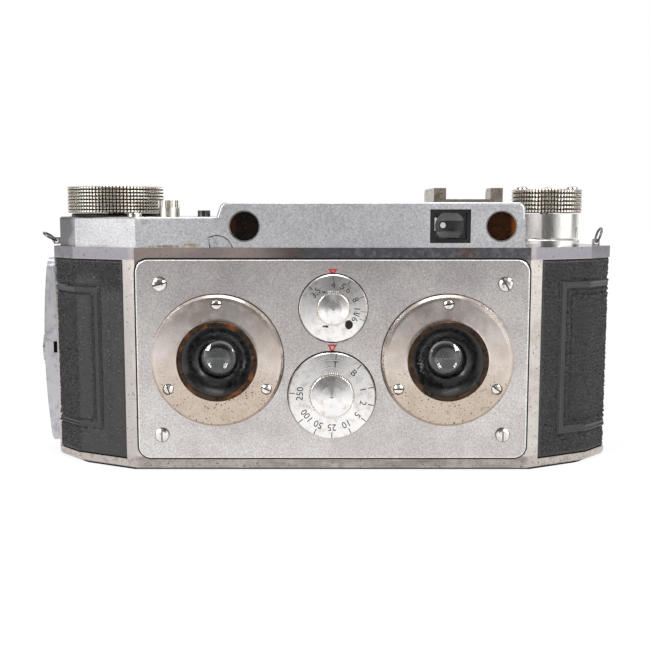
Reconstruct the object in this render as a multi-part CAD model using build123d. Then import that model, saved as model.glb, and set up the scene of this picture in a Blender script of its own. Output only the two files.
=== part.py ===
from build123d import *
import os
from math import atan2, cos, degrees, pi, radians, sin, sqrt

# A stereo camera for pairs on 35 mm film, in millimetres.
# It is drawn with X to the viewer's right, Y from the front face to the back and Z up. The front face
# of the body is Y = 0 and the base is Z = 0. At export everything moves back by bush_y, so that the
# tripod bush is at the origin.
# The body grows from the inside out: its width follows from the lens spacing, the picture gate and the
# film chambers, its height from the two dials, and its depth from the distance drum and the back cover.

# Fits
running = 0.05           # radial clearance of shafts and slides
gap = 0.25               # clearance between covers
apart = 0.15             # clearance under a knob or dial
through = 1.0            # how far a cutter reaches past what it cuts

# Lenses
lens_spacing = 65.0
ring_r = 18.7
ring_front = 3.0         # how far the ring stands in front of the body face
ring_rim = 0.7           # bevel of its outer edge
ring_land = 0.9          # width of its flat rim, outside the dished face
ring_dish = 0.6
ring_screw_in = 2.7      # from the ring's edge to its screws
ring_screw_r = 1.5
ring_screw_bore_r = 0.7
ring_screw_seat = 0.75   # depth of the screw's seat in the ring's face
ring_screw_high = 0.75
bezel_r = 11.375
bezel_bore_r = 9.95
bezel_front = 4.0
name_ring_slope = 4.9    # depth of the conical ring between bezel and glass
glass_r = 5.65
glass_seat = 1.5         # metal round the glass at its back
glass_front = 0.6
glass_edge_front = 1.9
glass_thick = 4.2
cell_rear_y = 7.5
rear_cell_r = 9.0
rear_bore_r = 7.0
rear_cell_front = 15.0
rear_cell_long = 8.0
rear_glass_bulge = 0.4
rear_glass_in = 2.0      # from the cell's rear to the glass

# Film path
gate_width = 30.0
gate_height = 24.0
gate_rim = 2.1           # from the picture's edge to the end of the gate plate
gate_tall = 48.4
gate_thick = 1.5
rail_high = 0.9
outer_rail_high = 1.2
rail_half = 0.8
film_width = 35.0
chamber_gap = 2.0        # from the gate plate to the film chambers
light_box_wall = 0.7
light_box_small = 18.0   # inside width at its front end
light_box_front = 0.4    # from the rear lens cell
light_box_flange = 1.9   # rim round the picture
flange_thick = 1.0
plate_room = 0.45        # from the rails to the pressure plate

# Body block, in plan
front_margin = 4.5       # from the lens rings to the edge of the flat front
end_room = 31.4          # from the film chambers' inner ends to the widest point
facet_in = 7.6           # how far inside the widest point the front facet ends
facet_y = 9.9
corner_y = 18.0
end_taper = 2.4          # how far the end leans in over its straight stretch
end_slope = 10.0         # depth of the facet behind that stretch
rear_in = 6.5
rear_step = 6.0          # depth of the rear corner facet
back_in = 15.0
door_depth = 8.0         # depth of the back cover behind its parting plane
floor = 2.5              # thickness of the bottom plate behind the parting plane
ceiling = 2.8            # and of the top plate
wall = 2.3
edge_chamfer = 0.6       # along the bottom of the front
edge_round = 1.6         # along the bottom of the ends

# Front plate and dials
ring_apart = 1.4         # between the speed dial and the lens rings
plate_low = 3.6
plate_edge = 3.3         # body above the front plate
plate_inset = 0.3        # the dark line between the plate and the edge of the flat front
plate_thick = 1.0
plate_corner_r = 3.5
plate_rim = 0.45         # rounding of its front edge
plate_screw_in = 6.85    # from the plate's edges
plate_screw_turns = {(-1, 1): -15, (1, 1): 60, (-1, -1): 90, (1, -1): 90}
plate_screw_r = 2.05
plate_screw_high = 0.9
plate_screw_bore_r = 0.95
plate_screw_deep = 6.05
dial_front = 2.5
dial_thick = 1.3
dial_edge = 0.3
dome_high = 1.15         # boss in the middle of each dial
aperture_x = 0.23
aperture_r = 9.6
aperture_dome_r = 4.6
aperture_margin = 4.0    # plate above the aperture dial
speed_x = -0.19
speed_dome_r = 6.2
speed_margin = 6.0       # plate below the speed dial
dial_apart = 2.8         # between the dials
cam_low_r = 2.6          # smallest radius of the exposure cam
cam_rise = 1.5
cam_y = 6.4
cam_thick = 1.2
arbor_r = 2.0

# Mechanism plate behind the front plate
pocket_in = 3.7          # wall between the flat front's edge and the mechanism pocket
corner_room = 0.125      # outside the bezels, at the solid corners for the plate's screws
pocket_edge = 2.4        # from the front plate's edge, up and down
corner_low = 9.0         # height of the solid corners
plate_y = 8.5
plate_back = 9.5
guide_x = 10.0
carrier_guide_x = 10.5
carrier_guide_r = 1.2
pillar_r = 1.6
pillar_in = 3.0

# Diaphragm: two slides with drop-shaped openings, driven by one pinion
slide_module = 0.3
pinion_teeth = 16
open_r = 5.8
open_turn = 48.0         # dial angle from its rest mark to full opening, degrees
slide_turn = 115.0       # dial angle that the guide slots allow
slide_front_y = 10.0
slide_thick = 0.6
slide_apart = 0.3        # between the two slides
bar_below = 5.8          # lower guide bar, below the pinion
bar_above = 4.8          # upper guide bar, above it
bar_half = 1.7
leaf_low = 7.2           # from the lens axis to the foot of a leaf
leaf_near = 7.5
leaf_far = 13.0
neck_near = 3.0
neck_far = 10.0
rack_teeth = 24
guide_pin_r = 0.9
guide_slot = 2.2

# Shutter: two blades that drop past the openings
blade_travel = 13.0
blade_window_r = 6.2
opening_blade_y = 11.9
closing_blade_y = 13.1
blade_thick = 0.6
blade_half = 9.4
blade_high = 20.7        # top of the leaves above the lens axis
opening_blade_low = 6.8  # foot of its leaves below the lens axis
closing_blade_low = 7.6
bar_top = 1.5            # crossbar below the leaves' top
bar_foot = 8.5
track_half = 10.2        # distance of the tracks from the lens axis
track_thick = 1.2
track_wide = 0.2         # how far the tracks reach past the opening blade
frame_edge = 6.0         # from the pocket's floor and ceiling
bulkhead_y = 16.0
bulkhead_thick = 2.5

# Focusing: wheel, drum with a spiral groove, rocker shaft, lens carrier
wheel_r = 6.75
wheel_out = 5.2          # its outer face beyond the body's widest point
wheel_rim = 1.9
wheel_flutes = 38
wheel_dish = 0.4
wheel_flange = 1.6       # width of the rim round the dish
wheel_shaft_r = 1.5
wheel_shaft_in = 5.4     # its inner end inside the widest point
drum_r = 7.2
drum_thick = 2.2
drum_apart = 0.1         # from the drum to the body's widest point
drum_clear = 0.3         # round the drum, inside the side cover
groove_deep = 1.4
spiral_start_r = 5.1
spiral_rise = 0.625      # mm of radius per radian of the wheel
spiral_turn = 4.0        # radians
rocker_z = 8.0
rocker_r = 1.5
rocker_hub_r = 2.2
rocker_arm_half = 1.0    # narrow enough to pass the wheel's shaft at full turn
rocker_end_thick = 1.4
rocker_end_apart = 0.5   # from the end arm to the drum
rocker_near_end = 8.0
channel_half = 6.0       # channel in the body for the rocker's middle arm
fork_half = 2.2
carrier_drop = 4.8       # push rod below the lens axis
carrier_y = 3.6
carrier_thick = 2.0
carrier_half = 4.5       # half height of the carrier's bar
carrier_ring = 3.0       # metal round the front cells
pin_r = 0.9
push_rod_x = -3.0
push_rod_r = 1.2

# Top housing
housing_inset = 0.9
housing_front = 0.35
deck_rise = 8.6          # deck above the body
raised_rise = 4.1        # raised part above the deck
ramp_high_x = -31.1
ramp_run = 1.5
ramp_round = 2.0         # rounding where the ramp meets the raised top
housing_right_in = 1.7   # its right end inside the flat front's edge
housing_wall = 1.3
housing_round = 0.8      # rounding of its top edges
housing_end_round = 2.0
housing_flare = 0.9      # hollow foot along the right end
window_up = 6.0          # above the body
left_window_x = -24.7
right_window_in = 6.7    # from the housing's right end
window_r = 4.05
window_sunk_left = 0.5
window_sunk_right = 0.3
eyepiece_bore_r = 2.2
eyepiece_body_r = 3.6
eyepiece_rim_r = 4.6
eyepiece_high = 2.0
finder_in = 14.3         # from the right window
finder_half = 5.7
finder_up = 1.3          # lower edge of the finder window above the body
finder_tall = 9.4
finder_sunk = 0.25
finder_frame = 1.0
finder_frame_deep = 2.85
housing_screw_x = -55.9
housing_screw_y = 3.2
rear_screw_x = -52.0
rear_screw_in = 4.0
housing_screw_r = 2.0
housing_screw_high = 1.1
housing_screw_bore_r = 0.9

# Winding side
winding_in = 18.5        # from the body's widest point
winding_door = 18.0      # in front of the parting plane
winding_r = 14.2
winding_base_r = 13.1
winding_base_high = 0.95
winding_high = 7.8
knob_teeth = 88
knurl_deep = 0.5
knob_dish = 0.6
winding_shaft_r = 2.5
shaft_foot = 8.5
gear_module = 0.6
winding_teeth = 30
sprocket_teeth = 21
sprocket_angle = 66.0    # direction of the sprocket from the winding shaft, degrees
gear_up = 0.8            # above the body
gear_thick = 2.4
spool_core_r = 5.2
spool_flange_r = 8.4
spool_flange = 1.2
spool_neck = 9.5
spool_slot = 1.2
sprocket_r = 6.05
sprocket_body_r = 4.35
sprocket_land = 1.9      # half width of a row's land
sprocket_tooth = 1.1
sprocket_shaft_r = 1.5
sprocket_foot = 10.0
perforation_rows = 28.2  # distance between the two rows of teeth
take_up_edge = 3.0       # chamber floor below the film
cassette_floor = 2.9

# Rewind side
rewind_in = 17.95
rewind_door = 14.0
rewind_r = 10.5
rewind_teeth = 68
rewind_high = 7.05
rewind_base_r = 10.05
rewind_base_high = 1.9
collar_r = 9.6
collar_high = 7.7
rewind_stem_r = 4.0
rewind_stem_down = 5.2
rewind_shaft_r = 2.0
rewind_fork_down = 13.2
rewind_fork_half = 2.6
rewind_stud_r = 1.75
rewind_stud_high = 0.95
rewind_stud_pitch_r = 8.4
rewind_stud_turn = 77.0  # direction of the first of its three studs, degrees

# Buttons and lever
release_x = -46.4
release_y = 5.5
release_r = 3.1
release_high = 4.6       # above the deck
release_neck = 2.6
release_down = 16.2      # its stem below the body's top
release_bore_r = 1.6
release_bore_deep = 4.0
button_x = -36.6
button_y = 6.0
button_r = 1.8
button_high = 1.8
button_down = 7.2
stem_r = 1.2
lever_x = -32.5
lever_down = 1.1         # its pivot below the body's top
lever_r = 4.4
lever_y = 0.75
lever_thick = 0.7
lever_cut = 1.9          # its disc is cut off this far left of the pivot
lever_tab = 0.9          # thickness of its bent tab
lever_tab_low = 2.2      # above the pivot
lever_tab_high = 3.9
lever_pivot_r = 0.9
lever_pivot_long = 2.45

# Side cover
cover_start = 0.6        # behind the body's front corner
cover_end = 2.0          # in front of the parting plane
cover_low = 3.9
cover_top = 3.7          # below the body's top
cover_out = 2.2          # its ends beyond the body's widest point
cover_dome = 1.8         # and its middle beyond its ends
cover_wall = 1.2
cover_corner_r = 3.0
scale_window = 3.4       # window for the distance scale, in the front rim
scale_wide = 1.8

# Accessory shoe
shoe_in = 14.9           # from the housing's right end
shoe_y = 9.0
shoe_length = 27.0
shoe_half = 9.9
shoe_slot = 18.6
shoe_mouth = 12.8
shoe_floor = 0.9
shoe_height = 4.1
shoe_lip = 0.8
shoe_lip_long = 8.0      # length of its lips
shoe_stop = 1.6
shoe_round = 1.8

# Back cover
door_thick = 1.8
door_gap = 0.3           # between the cover and the parting plane
hinge_in = 1.9
hinge_back = 0.6
knuckle_r = 2.4
hinge_pin_r = 1.0
pin_cap = 0.4            # metal left over each end of the hinge pin
latch_z = 34.0
latch_r = 1.2
latch_travel = 2.2
latch_down = 4.0         # its bolt below its middle
latch_neck_half = 1.0    # neck through the cover, half its width
latch_neck_tall = 3.0    # and half its height
thumb_half = 2.4
thumb_tall = 10.0
thumb_ribs = 5
back_leather_edge = 2.0  # bare rim round the leather of the back
back_leather_thick = 0.8
plate_pillar_r = 3.0

# Leather
leather_low = 2.75
leather_top = 3.45       # below the body's top
leather_edge = 3.65      # outside the flat front's edge
leather_thick = 0.9
leather_sink = 0.2

# Rangefinder
stud_x = 19.0            # stud on the lens carrier that moves the arm
stud_y = 5.8
stud_half = 1.2
arm_up = 1.5             # above the body
arm_thick = 1.0
arm_half = 1.7
arm_pivot_r = 1.2
arm_hub_r = 2.4
mirror_high = 6.4
mirror_long = 7.0
mirror_thick = 0.9
mirror_foot = 2.9        # block under the fixed mirror, above the body

# Tripod bush and strap lugs
bush_y = 22.0
bush_r = 8.0
bush_bore_r = 4.0
bush_high = 6.0
bush_slot = 0.6
foot_wall = 2.5          # metal of the base plate round the bush
lug_y = 25.0
lug_thick = 0.9
lug_hole_r = 0.65
lug_edge = 1.0           # from its hole's middle to its rim
left_lug_out = 1.1       # its hole outside the body's widest point
left_lug_up = 1.3        # and above the body
right_lug_in = 2.3       # inside the body's widest point
right_lug_up = 0.8
lug_root = 2.4           # foot of the left lug, inside the body's widest point
wire_r = 0.35
ring_mean_r = 2.2
ring_leans = {-1: -58.0, 1: 18.0}    # tilt of each strap ring from upright, degrees

# Worked out across the width
sides = (-1, 1)
lens_x = lens_spacing / 2
front_half = lens_x + ring_r + front_margin
gate_half = lens_x + gate_width / 2 + gate_rim
chamber_half = gate_half + chamber_gap
half_width = chamber_half + end_room
facet_x = half_width - facet_in
rear_x = half_width - rear_in
back_half = half_width - back_in
plate_half = front_half - plate_inset
pocket_half = front_half - pocket_in
pocket_corner_half = lens_x + bezel_r + corner_room
leather_x = front_half + leather_edge
flange_half = gate_width / 2 + light_box_flange
flange_tall = gate_height / 2 + light_box_flange
housing_right = front_half - housing_right_in
right_window_x = housing_right - right_window_in
finder_x = right_window_x - finder_in
shoe_x = housing_right - shoe_in
winding_x = winding_in - half_width
rewind_x = half_width - rewind_in
hinge_x = rear_x - hinge_in
drum_inner = half_width + drum_apart
cover_edge = half_width + cover_out
cover_mid = cover_edge + cover_dome
wheel_face = half_width + wheel_out
wheel_shaft_end = half_width - wheel_shaft_in

# Worked out up the height
speed_r = lens_x - ring_r - ring_apart
speed_z = plate_low + speed_margin + speed_r
aperture_z = speed_z + speed_r + dial_apart + aperture_r
plate_high = aperture_z + aperture_r + aperture_margin
body_height = plate_high + plate_edge
lens_z = (plate_low + plate_high) / 2
pocket_low = plate_low + pocket_edge
pocket_high = plate_high - pocket_edge
low_guide_z = aperture_z - bar_below
high_guide_z = aperture_z + bar_above
carrier_z = lens_z - carrier_drop
inner_top = body_height - floor - 0.5
channel_low = bush_high + wall / 2
door_top = body_height - ceiling
deck_height = body_height + deck_rise
raised_height = deck_height + raised_rise
window_z = body_height + window_up
finder_z = body_height + finder_up + finder_tall / 2
gear_low = body_height + gear_up
winding_low = deck_height + winding_base_high
rewind_base_top = body_height + rewind_base_high
rewind_low = rewind_base_top + collar_high
lever_z = body_height - lever_down
arm_low = body_height + arm_up
cover_high = body_height - cover_top
leather_high = body_height - leather_top

# Worked out along the depth
cover_front = corner_y + cover_start
cover_rear = cover_front + 2 * (drum_r + drum_clear + cover_wall)
wheel_y = (cover_front + cover_rear) / 2
door_y = cover_rear + cover_end
body_depth = door_y + door_depth
rear_y = body_depth - rear_step
end_y = rear_y - end_slope
hinge_y = rear_y + hinge_back
housing_rear = body_depth - housing_inset
winding_y = door_y - winding_door
rewind_y = door_y - rewind_door
rocker_y = wheel_y + spiral_start_r
rear_cell_back = rear_cell_front + rear_cell_long

# Worked out for the moving pieces
pinion_r = slide_module * pinion_teeth / 2
slide_travel = pinion_r * radians(slide_turn)
rest_shift = pinion_r * radians(open_turn)
end_arm = lens_z - rocker_z
carrier_travel = spiral_rise * spiral_turn * (carrier_z - rocker_z) / end_arm
gear_distance = gear_module * (winding_teeth + sprocket_teeth) / 2
sprocket_x = winding_x + gear_distance * cos(radians(sprocket_angle))
sprocket_y = winding_y + gear_distance * sin(radians(sprocket_angle))
ring_screw_pitch_r = ring_r - ring_screw_in
latch_turn = degrees(atan2(rear_step, rear_x - back_half))
latch_depth = door_thick + latch_r + 0.5
latch_x = -(back_half + rear_x) / 2 + latch_depth * sin(radians(latch_turn))
latch_y = (rear_y + body_depth) / 2 - latch_depth * cos(radians(latch_turn))


# Shape helpers

def block(x0, x1, y0, y1, z0, z1):
    return Pos((x0 + x1) / 2, (y0 + y1) / 2, (z0 + z1) / 2) * Box(x1 - x0, y1 - y0, z1 - z0)


def rod_x(x0, x1, y, z, r):
    return Pos((x0 + x1) / 2, y, z) * Rot(0, 90, 0) * Cylinder(r, x1 - x0)


def rod_y(x, z, y0, y1, r):
    return Pos(x, (y0 + y1) / 2, z) * Rot(90, 0, 0) * Cylinder(r, y1 - y0)


def rod_z(x, y, z0, z1, r):
    return Pos(x, y, (z0 + z1) / 2) * Cylinder(r, z1 - z0)


def tube_z(x, y, z0, z1, r, bore):
    return rod_z(x, y, z0, z1, r) - rod_z(x, y, z0 - through, z1 + through, bore)


def plan(points):
    return Polygon(*points, align=None)


def prism(face, z0, z1):
    return Pos(0, 0, z0) * extrude(face, z1 - z0, dir=(0, 0, 1))


def front_prism(face, y0, y1):
    """A face drawn in X and Z, made solid from y0 to y1."""
    return Pos(0, y0, 0) * extrude(Plane.XZ * face, y1 - y0, dir=(0, 1, 0))


def side_prism(face, x0, x1):
    """A face drawn in Y and Z, made solid from x0 to x1."""
    return Pos(x0, 0, 0) * extrude(Plane.YZ * face, x1 - x0, dir=(1, 0, 0))


def turned_y(points, x, z):
    """A profile of radius and Y, turned about an axis along Y."""
    return Pos(x, 0, z) * revolve(plan(points), Axis.Y)


def turned_z(points, x, y):
    """A profile of radius and Z, turned about an upright axis."""
    return Pos(x, y, 0) * revolve(Plane.XZ * plan(points), Axis.Z)


def round_rect(x0, x1, z0, z1, r):
    return Pos((x0 + x1) / 2, (z0 + z1) / 2) * RectangleRounded(x1 - x0, z1 - z0, r)


def star(teeth, root_r, tip_r, root_share, tip_share, phase=0.0):
    """Outline with straight-sided teeth; the shares are half widths as parts of the pitch."""
    pitch = 2 * pi / teeth
    points = []
    for tooth in range(teeth):
        middle = phase + tooth * pitch
        for r, share in ((root_r, -root_share), (tip_r, -tip_share), (tip_r, tip_share),
                         (root_r, root_share)):
            angle = middle + share * pitch
            points.append((r * cos(angle), r * sin(angle)))
    return plan(points)


def gear(teeth, module, phase=0.0):
    r = teeth * module / 2
    return star(teeth, r - 1.15 * module, r + 0.85 * module, 0.33, 0.13, phase)


def rack(x0, count, module, z_pitch, up, z_back):
    """Rack outline in X and Z: its first tooth stands at x0 and points up (1) or down (-1)."""
    pitch = pi * module
    root = z_pitch - up * 1.15 * module
    tip = z_pitch + up * 0.85 * module
    points = [(x0 - pitch / 2, z_back), (x0 - pitch / 2, root)]
    for tooth in range(count):
        middle = x0 + tooth * pitch
        points += [(middle - 0.33 * pitch, root), (middle - 0.13 * pitch, tip)]
        points += [(middle + 0.13 * pitch, tip), (middle + 0.33 * pitch, root)]
    end = x0 + (count - 0.5) * pitch
    points += [(end, root), (end, z_back)]
    return plan(points)


def slotted_screw(x, z, y, head_r, head_high, shank, slot_turn):
    """A domed slotted screw seated at y, with its head towards the front."""
    head = turned_y([(0, 0), (head_r, 0), (head_r, -0.45 * head_high), (0.6 * head_r, -0.9 * head_high),
                     (0, -head_high)], 0, 0)
    body = head + rod_y(0, 0, 0, shank, 0.45 * head_r)
    slot = Rot(0, slot_turn, 0) * Box(2.2 * head_r, head_high, 0.24 * head_r)
    return Pos(x, y, z) * (body - Pos(0, -head_high, 0) * slot)


# Body

def body_outline():
    right = [(front_half, 0), (facet_x, facet_y), (half_width, corner_y), (half_width - end_taper, end_y),
             (rear_x, rear_y), (back_half, body_depth)]
    return plan(right + [(-x, y) for x, y in reversed(right)])


def inner_outline(depth):
    return offset(body_outline(), amount=-depth, kind=Kind.INTERSECTION) if depth else body_outline()


def leather_band(sink, depth, x0, x1, y1):
    """The strip just under the body's outline, from sink to depth below it."""
    strip = prism(inner_outline(sink), leather_low, leather_high)
    strip -= prism(inner_outline(depth), leather_low - through, leather_high + through)
    return strip & block(x0, x1, -through, y1, 0, body_height)


def body_casting():
    """The body and its base plate in one."""
    shell = prism(body_outline(), 0, body_height)
    foot = shell.edges().filter_by(GeomType.LINE).filter_by(lambda e: e.center().Z < through)
    ends = foot.filter_by(lambda e: facet_y < e.center().Y < end_y and e.length > wall)
    shell = fillet(ends, edge_round)
    front = shell.edges().filter_by(Axis.X).group_by(Axis.Z)[0].sort_by(Axis.Y)[0]
    shell = chamfer(front, edge_chamfer)
    groove = leather_sink + leather_thick
    outside = half_width + through
    shell -= leather_band(0, groove, leather_x, outside, door_y)
    shell -= leather_band(0, groove, -outside, -leather_x, corner_y)
    # mechanism pocket behind the front plate, with solid corners for the plate's screws
    shell -= block(-pocket_corner_half, pocket_corner_half, -through, bulkhead_y, pocket_low, pocket_high)
    shell -= block(-pocket_half, pocket_half, -through, bulkhead_y, pocket_low + corner_low,
                   pocket_high - corner_low)
    for x, z, _ in plate_screw_places():
        shell -= rod_y(x, z, -through, plate_screw_deep, plate_screw_bore_r)
    # door space behind the parting plane, between the top and bottom plates
    shell -= block(-outside, outside, door_y, body_depth + through, floor, door_top)
    # film chambers
    chamber = inner_outline(wall)
    take_up_floor = lens_z - film_width / 2 - take_up_edge
    for x0, x1, z0 in ((chamber_half, half_width, cassette_floor),
                       (-half_width + end_slope - wall, -chamber_half,
                                                                    take_up_floor)):
        shell -= prism(chamber, z0, inner_top) & block(x0, x1, wall, door_y + through, 0, body_height)
    # light box pockets, bulkhead openings and the middle channel for the rocker arm
    behind = bulkhead_y + bulkhead_thick
    for side in sides:
        x = side * lens_x
        shell -= block(x - flange_half - apart, x + flange_half + apart, behind, door_y + through,
                       lens_z - flange_tall - 2 * apart, lens_z + flange_tall + 2 * apart)
        shell -= rod_y(x, lens_z, bulkhead_y - through, behind + through, rear_cell_r)
    shell -= block(-channel_half, channel_half, bulkhead_y - through, door_y + through, channel_low,
                   carrier_z + carrier_drop)
    hub = rocker_hub_r + gap
    shell -= block(-channel_half, channel_half, rocker_y - hub, door_y + through, rocker_z - hub,
                   carrier_z + carrier_drop)
    shell -= rod_x(-outside, rocker_near_end + apart, rocker_y, rocker_z, rocker_r + running)
    # journals and passages
    shell -= rod_x(-outside, apart - wheel_shaft_end, wheel_y, lens_z, wheel_shaft_r + running)
    above = body_height + through
    shell -= rod_z(winding_x, winding_y, shaft_foot - apart, above, winding_shaft_r + running)
    shell -= rod_z(sprocket_x, sprocket_y, sprocket_foot - apart, above, sprocket_shaft_r + running)
    shell -= rod_z(rewind_x, rewind_y, inner_top - through, above, rewind_stem_r + running)
    shell -= rod_z(release_x, release_y, body_height - release_down, above, stem_r + running)
    shell -= rod_z(button_x, button_y, pocket_high - through, above, stem_r + running)
    shell -= block(stud_x - stud_half, stud_x + stud_half, stud_y - carrier_travel - stud_half,
                   stud_y + stud_half, pocket_high - through, above)
    lever_back = lever_y + lever_thick + gap
    shell -= rod_y(lever_x, lever_z, lever_y - apart, lever_back, lever_r + gap)
    shell -= rod_y(lever_x, lever_z, lever_y, lever_y + lever_pivot_long + apart, lever_pivot_r + running)
    shell -= rod_z(sprocket_x, sprocket_y, take_up_floor + 2 * gap, inner_top,
                   sprocket_r + 2 * knurl_deep + gap)
    # tripod bush, hinge and the hole for the latch's bolt
    shell -= rod_z(0, bush_y, -through, bush_high, bush_r)
    for z0, z1 in ((0, floor), (door_top, body_height)):
        shell += rod_z(hinge_x, hinge_y, z0, z1, knuckle_r)
    shell -= rod_z(hinge_x, hinge_y, pin_cap, body_height - pin_cap, hinge_pin_r)
    shell -= rod_z(latch_x, latch_y, door_top - through, door_top + latch_travel, latch_r + 2 * running)
    return shell


def base_space():
    """Space of the base plate: the body's bottom, and a boss round the tripod bush."""
    foot_half = bush_r + foot_wall
    over = half_width + through
    low = block(-over, over, -through, body_depth + through, -through, floor)
    return low + block(-foot_half, foot_half, bush_y - foot_half, bush_y + foot_half, -through, channel_low)


def body_shell():
    return body_casting() - base_space()


def base_plate():
    return body_casting() & base_space()


def leather_left():
    return leather_band(leather_sink, leather_sink + leather_thick, -half_width - through, -leather_x,
                        corner_y)


def leather_right():
    return leather_band(leather_sink, leather_sink + leather_thick, leather_x, half_width + through, door_y)


def tripod_bush():
    ring = tube_z(0, bush_y, 0, bush_high, bush_r, bush_bore_r)
    return ring - block(-bush_r, bush_r, bush_y - bush_slot, bush_y + bush_slot, -through, 1.3 * bush_slot)


# Front plate, lens rings and their screws

def plate_screw_places():
    places = []
    for (side, up), turn in plate_screw_turns.items():
        z = plate_high - plate_screw_in if up > 0 else plate_low + plate_screw_in
        places.append((side * (plate_half - plate_screw_in), z, turn))
    return places


def ring_screw_places():
    turns = {-1: (0, 70, 25), 1: (-10, 0, 35)}
    places = []
    for side in sides:
        for angle, turn in zip((90, 210, 330), turns[side]):
            x = side * lens_x + ring_screw_pitch_r * cos(radians(angle))
            z = lens_z + ring_screw_pitch_r * sin(radians(angle))
            places.append((x, z, turn))
    return places


def front_plate():
    outline = round_rect(-plate_half, plate_half, plate_low, plate_high, plate_corner_r)
    plate = front_prism(outline, -plate_thick, 0)
    rim = plate.faces().sort_by(Axis.Y)[0].outer_wire().edges()
    plate = fillet(rim, plate_rim)
    holes = [(side * lens_x, lens_z, bezel_r + gap) for side in sides]
    holes += [(aperture_x, aperture_z, arbor_r + running), (speed_x, speed_z, arbor_r + running)]
    holes += [(x, z, plate_screw_bore_r) for x, z, _ in plate_screw_places()]
    holes += [(x, z, ring_screw_bore_r) for x, z, _ in ring_screw_places()]
    for x, z, r in holes:
        plate -= rod_y(x, z, -plate_thick - through, through, r)
    return plate


def front_plate_screws():
    return [slotted_screw(x, z, -plate_thick, plate_screw_r, plate_screw_high, plate_screw_deep - through,
                          turn)
            for x, z, turn in plate_screw_places()]


def lens_ring(side):
    back = -plate_thick
    inner_r = bezel_r + running
    dish_front = ring_dish - ring_front
    ring = turned_y([(inner_r, back), (ring_r, back), (ring_r, ring_rim - ring_front),
                     (ring_r - ring_rim, -ring_front), (ring_r - ring_rim - ring_land, -ring_front),
                     (inner_r + ring_dish, dish_front), (inner_r, dish_front)], side * lens_x, lens_z)
    for x, z, _ in ring_screw_places():
        if x * side > 0:
            ring -= rod_y(x, z, -ring_front - through, 0, ring_screw_bore_r)
            ring -= rod_y(x, z, -ring_front - through, ring_screw_seat - ring_front, ring_screw_r + running)
    return ring


def lens_ring_screws():
    seat = ring_screw_seat - ring_front
    return [slotted_screw(x, z, seat, ring_screw_r, ring_screw_high, -seat, turn)
            for x, z, turn in ring_screw_places()]


# Dials

def dial(x, z, r, dome_r):
    back = dial_thick - dial_front
    face = -dial_front
    return turned_y([(0, back), (r - dial_edge, back), (r, back - dial_edge), (r, face + dial_edge),
                     (r - dial_edge, face), (dome_r, face), (dome_r - dial_edge, face - 0.6 * dome_high),
                     (dome_r / 2, face - 0.9 * dome_high), (0, face - dome_high)], x, z)


def aperture_dial():
    return dial(aperture_x, aperture_z, aperture_r, aperture_dome_r)


def aperture_arbor():
    start = slide_front_y - apart
    pinion = front_prism(gear(pinion_teeth, slide_module), start,
                         slide_front_y + 2 * slide_thick + slide_apart + running)
    shaft = rod_y(0, 0, dial_thick - dial_front, start, arbor_r)
    return Pos(aperture_x, 0, aperture_z) * (shaft + pinion)


def speed_dial():
    return dial(speed_x, speed_z, speed_r, speed_dome_r)


def speed_arbor():
    """Arbor with the cam that sets the exposure time."""
    steps = 24
    rim = []
    for step in range(steps):
        angle = 2 * pi * step / steps
        r = cam_low_r + cam_rise * step / steps
        rim.append((r * cos(angle), r * sin(angle)))
    cam = front_prism(plan(rim), cam_y, cam_y + cam_thick)
    shaft = rod_y(0, 0, dial_thick - dial_front, plate_back, arbor_r)
    return Pos(speed_x, 0, speed_z) * (shaft + cam)


# Mechanism plate, aperture slides, shutter

def mechanism_plate():
    plate = block(-pocket_corner_half, pocket_corner_half, plate_y, plate_back, pocket_low, pocket_high)
    holes = [(side * lens_x, lens_z, open_r + through) for side in sides]
    holes += [(aperture_x, aperture_z, arbor_r + running), (speed_x, speed_z, arbor_r + running)]
    holes += [(push_rod_x, carrier_z, push_rod_r + 2 * gap)]
    for x, z, r in holes:
        plate -= rod_y(x, z, plate_y - through, plate_back + through, r)
    guide_end = slide_front_y + 2 * slide_thick + slide_apart + running
    for side in sides:
        for z in (pocket_low + pillar_in, pocket_high - pillar_in):
            plate += rod_y(side * (pocket_corner_half - pillar_in), z, plate_back, bulkhead_y, pillar_r)
        for z in (low_guide_z, high_guide_z):
            plate += rod_y(side * guide_x, z, plate_back, guide_end, guide_pin_r)
        plate += rod_y(side * carrier_guide_x, lens_z, 0.5, plate_y, carrier_guide_r)
    return plate


def drop(direction):
    """Opening of an aperture slide: a circle with a square corner that points along X."""
    point = open_r * sqrt(2)
    touch = open_r / sqrt(2)
    corner = [(0, 0), (direction * touch, -touch), (direction * point, 0), (direction * touch, touch)]
    return Circle(open_r) + plan(corner[::direction])


def aperture_slide(up, y0, shift):
    """up is 1 for the slide above the pinion, whose drops point right, and -1 for the one below it."""
    bar_z = high_guide_z if up > 0 else low_guide_z
    bar_low, bar_high = bar_z - bar_half, bar_z + bar_half
    first = aperture_x - (rack_teeth - 1) / 2 * pi * slide_module
    y1 = y0 + slide_thick
    teeth = rack(first, rack_teeth, slide_module, aperture_z + up * pinion_r, -up, bar_z)
    plate = front_prism(teeth, y0, y1)
    left, right = sorted((-up * neck_near, up * neck_far))
    near, far = sorted((-up * leaf_near, up * leaf_far))
    plate += block(shift - lens_x + left, shift + lens_x + right, y0, y1, bar_low, bar_high)
    for side in sides:
        centre = side * lens_x + shift
        plate += block(centre + near, centre + far, y0, y1, lens_z - leaf_low, low_guide_z + bar_half)
        plate += block(centre + left, centre + right, y0, y1, low_guide_z, bar_high)
        plate -= front_prism(Pos(centre, lens_z) * drop(up), y0 - through, y1 + through)
        slot = Pos(side * guide_x, bar_z) * SlotOverall(2 * slide_travel + guide_slot, guide_slot)
        plate -= front_prism(slot, y0 - through, y1 + through)
    return plate


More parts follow.
